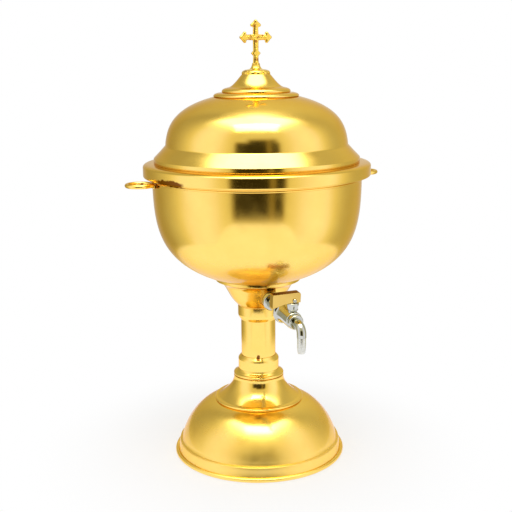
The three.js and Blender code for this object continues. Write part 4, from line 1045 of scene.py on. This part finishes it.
def step_up(value, start, end, low=0.0, high=1.0):
    """Rises or falls smoothly from low to high as the value goes from start to end."""
    return ramp(add, value, start, end, low, high, "SMOOTHSTEP")


def part_along(place, direction):
    """How far a place lies in a direction."""
    return add("VectorMath", {"operation": "DOT_PRODUCT"}, _0=place, _1=direction).outputs["Value"]


def maths(operation, *values):
    """Works out one number from others."""
    return add("Math", {"operation": operation},
               **{f"_{i}": value for i, value in enumerate(values)}).outputs[0]


def switch(share, one, other):
    """Goes over from one shader to another."""
    return add("MixShader", _0=share, _1=one.outputs[0], _2=other.outputs[0])


place = add("TexCoord").outputs["Object"]
floor_tint = mixed(add, cloudy(add, place, 3.0, 0.0, 1.0), (0.84, 0.84, 0.84), (0.8, 0.8, 0.8))
tree.links.new(floor_tint, shader.inputs["Base Color"])
shader.inputs["Roughness"].default_value = 0.7
shader.inputs["Specular IOR Level"].default_value = 0.0
away = length(add, place)
seen_floor = switch(step_up(away, 0.12, 0.34, 0.6, 1.0), shader,
                    add("Emission", Color=white, Strength=1.0))
front = maths("DIVIDE", part_along(place, towards_camera), away)
table_edge = step_up(front, 0.66, 0.92, 0.49, 1.0)
table_end = step_up(maths("SUBTRACT", away, table_edge), 0.0, 0.07)
table = add("Emission", Color=(0.7, 0.72, 1.0, 1), Strength=1.7)
mirrored_floor = switch(table_end, table, add("BsdfTransparent", Color=white))
rays = add("LightPath")
seen = switch(rays.outputs["Is Camera Ray"], shader, seen_floor)
floor_mix = switch(rays.outputs["Is Glossy Ray"], seen, mirrored_floor)
tree.links.new(floor_mix.outputs[0], tree.nodes["Material Output"].inputs["Surface"])
bpy.ops.mesh.primitive_circle_add(vertices=96, radius=6, fill_type="NGON", location=(0, 0, 0))
floor = bpy.context.object
floor.name = "floor"
floor.data.materials.append(floor_material)


# Light: an open white tent round the font under a bright roof, dark where the camera looks in. Only
# polished metal mirrors its walls. All else gets plain soft light, and one lamp hangs above.
deg = math.radians(1)
# The brightness of the walls at bearings in degrees, from the camera's own towards its right.
wall_levels = {
    -165: 0.66, -148: 0.6, -136: 0.44, -118: 0.52, -100: 0.74, -86: 1.05, -70: 1.2,
    -52: 1.22, -35: 0.86, -20: 0.8, 20: 0.78, 36: 0.88, 56: 1.2, 75: 1.28,
    90: 0.95, 104: 0.64, 119: 0.55, 135: 0.66, 152: 0.76,
}
back_level = 0.84
ramp_top = 2.0
stripe_bearing = 15.5 * deg
opening_darkness = 0.96

world = bpy.data.worlds.new("tent")
bpy.context.scene.world = world
world.use_nodes = True
tree = world.node_tree
tree.nodes.clear()
add = node_adder(tree)


def flip(share):
    """What is left of one."""
    return maths("SUBTRACT", 1.0, share)


def between(one, other, share):
    """Goes over from one number to another."""
    return maths("ADD", maths("MULTIPLY", one, flip(share)), maths("MULTIPLY", other, share))


way = add("TexCoord").outputs["Generated"]
swung = maths("ARCTAN2", part_along(way, to_the_side), part_along(way, towards_camera))
around = maths("ABSOLUTE", swung)
elevation = maths("ARCSINE", add("SeparateXYZ", Vector=way).outputs["Z"])


def gap(middle, full, end, top_full, top_end):
    """A gap in the tent: open to either side of its middle, and up to some height."""
    off = maths("ABSOLUTE", maths("SUBTRACT", swung, middle * deg))
    return maths("MULTIPLY", step_up(off, full * deg, end * deg, 1.0, 0.0),
                 step_up(elevation, top_full * deg, top_end * deg, 1.0, 0.0))


bearing = maths("ADD", maths("DIVIDE", swung, 2 * math.pi), 0.5)
sides = add("ValToRGB", _0=bearing)
sides.color_ramp.interpolation = "B_SPLINE"
for turn, level in wall_levels.items():
    grey = (level / ramp_top,) * 3
    sides.color_ramp.elements.new((turn + 180) / 360).color = (*grey, 1)
for end in (0, -1):
    sides.color_ramp.elements[end].color = (*(back_level / ramp_top,) * 3, 1)
wall = maths("MULTIPLY", sides.outputs[0], ramp_top)
ground = step_up(around, 85 * deg, 130 * deg, 1.22, 0.95)
lowered = step_up(elevation, -55 * deg, -40 * deg, 1.0, 0.0)
over_roof_line = maths("SUBTRACT", elevation, step_up(around, 95 * deg, 125 * deg, 0.0, 16 * deg))
roof = step_up(over_roof_line, 40 * deg, 62 * deg)
roof_level = step_up(over_roof_line, 53 * deg, 69 * deg, 1.5, 4.6)
lit = between(between(wall, ground, lowered), roof_level, roof)
wide_gap = gap(middle=1, full=24, end=31, top_full=17, top_end=25)
tall_gap = gap(middle=7, full=14, end=23, top_full=22, top_end=33)
door = maths("MAXIMUM", wide_gap, tall_gap)
opening = maths("MULTIPLY", door, step_up(elevation, -22 * deg, -16 * deg))
off_stripe = maths("ABSOLUTE", maths("SUBTRACT", swung, stripe_bearing))
pale_stripe = step_up(off_stripe, 1.5 * deg, 5 * deg, 0.3, 0.0)
darkness = maths("SUBTRACT", opening_darkness, pale_stripe)
tent = maths("MULTIPLY", lit, flip(maths("MULTIPLY", opening, darkness)))

wall_tint = mixed(add, step_up(wall, 0.85, 1.15), (1, 0.97, 0.86), (0.97, 0.99, 1.45))
tent_tint = mixed(add, maths("MAXIMUM", roof, lowered), wall_tint, (0.97, 0.99, 1.2))
tint = mixed(add, opening, tent_tint, (1, 0.8, 0.35))
mirrored_light = add("Background", Color=tint, Strength=tent)
soft_light = add("Background", Color=white, Strength=0.85)
backdrop = add("Background", Color=white, Strength=1.0)
rays = add("LightPath")
lighting = switch(rays.outputs["Is Glossy Ray"], soft_light, mirrored_light)
shown = switch(rays.outputs["Is Camera Ray"], lighting, backdrop)
world_output = tree.nodes.new("ShaderNodeOutputWorld")
tree.links.new(shown.outputs[0], world_output.inputs["Surface"])

lamp = bpy.data.lights.new("top_softbox", "AREA")
lamp.shape = "RECTANGLE"
lamp.size, lamp.size_y = 1.2, 0.6
lamp.energy = 12.0
softbox = bpy.data.objects.new("top_softbox", lamp)
softbox.location = 0.75 * towards_camera + Vector((0, 0, 1.75))
aim = Vector((0, 0, 0.35)) - softbox.location
softbox.rotation_euler = aim.to_track_quat("-Z", "Y").to_euler()
bpy.context.scene.collection.objects.link(softbox)


# Camera: it stands a little to the left of the tap and looks slightly down, held almost level. Its
# place and its lens are those from which the round parts look as oval as in the photograph.
view_distance = 1.2595
view_height = 0.5573
view_pitch = math.radians(12.322)
view_pan = math.radians(0.105)
view_roll = math.radians(-0.55)
focal_pixels = 930.5
picture_pixels = 512
camera_data = bpy.data.cameras.new("camera")
camera_data.sensor_width = 36.0
camera_data.lens = camera_data.sensor_width * focal_pixels / picture_pixels
camera = bpy.data.objects.new("camera", camera_data)
camera.location = view_distance * towards_camera + Vector((0, 0, view_height))
level_view = Matrix.Rotation(view_pan - view_turn, 4, "Z") @ Matrix.Rotation(
    math.pi / 2 - view_pitch, 4, "X")
camera.rotation_euler = (level_view @ Matrix.Rotation(view_roll, 4, "Z")).to_euler()
bpy.context.scene.collection.objects.link(camera)
bpy.context.scene.camera = camera
bpy.context.scene.view_settings.view_transform = "Standard"
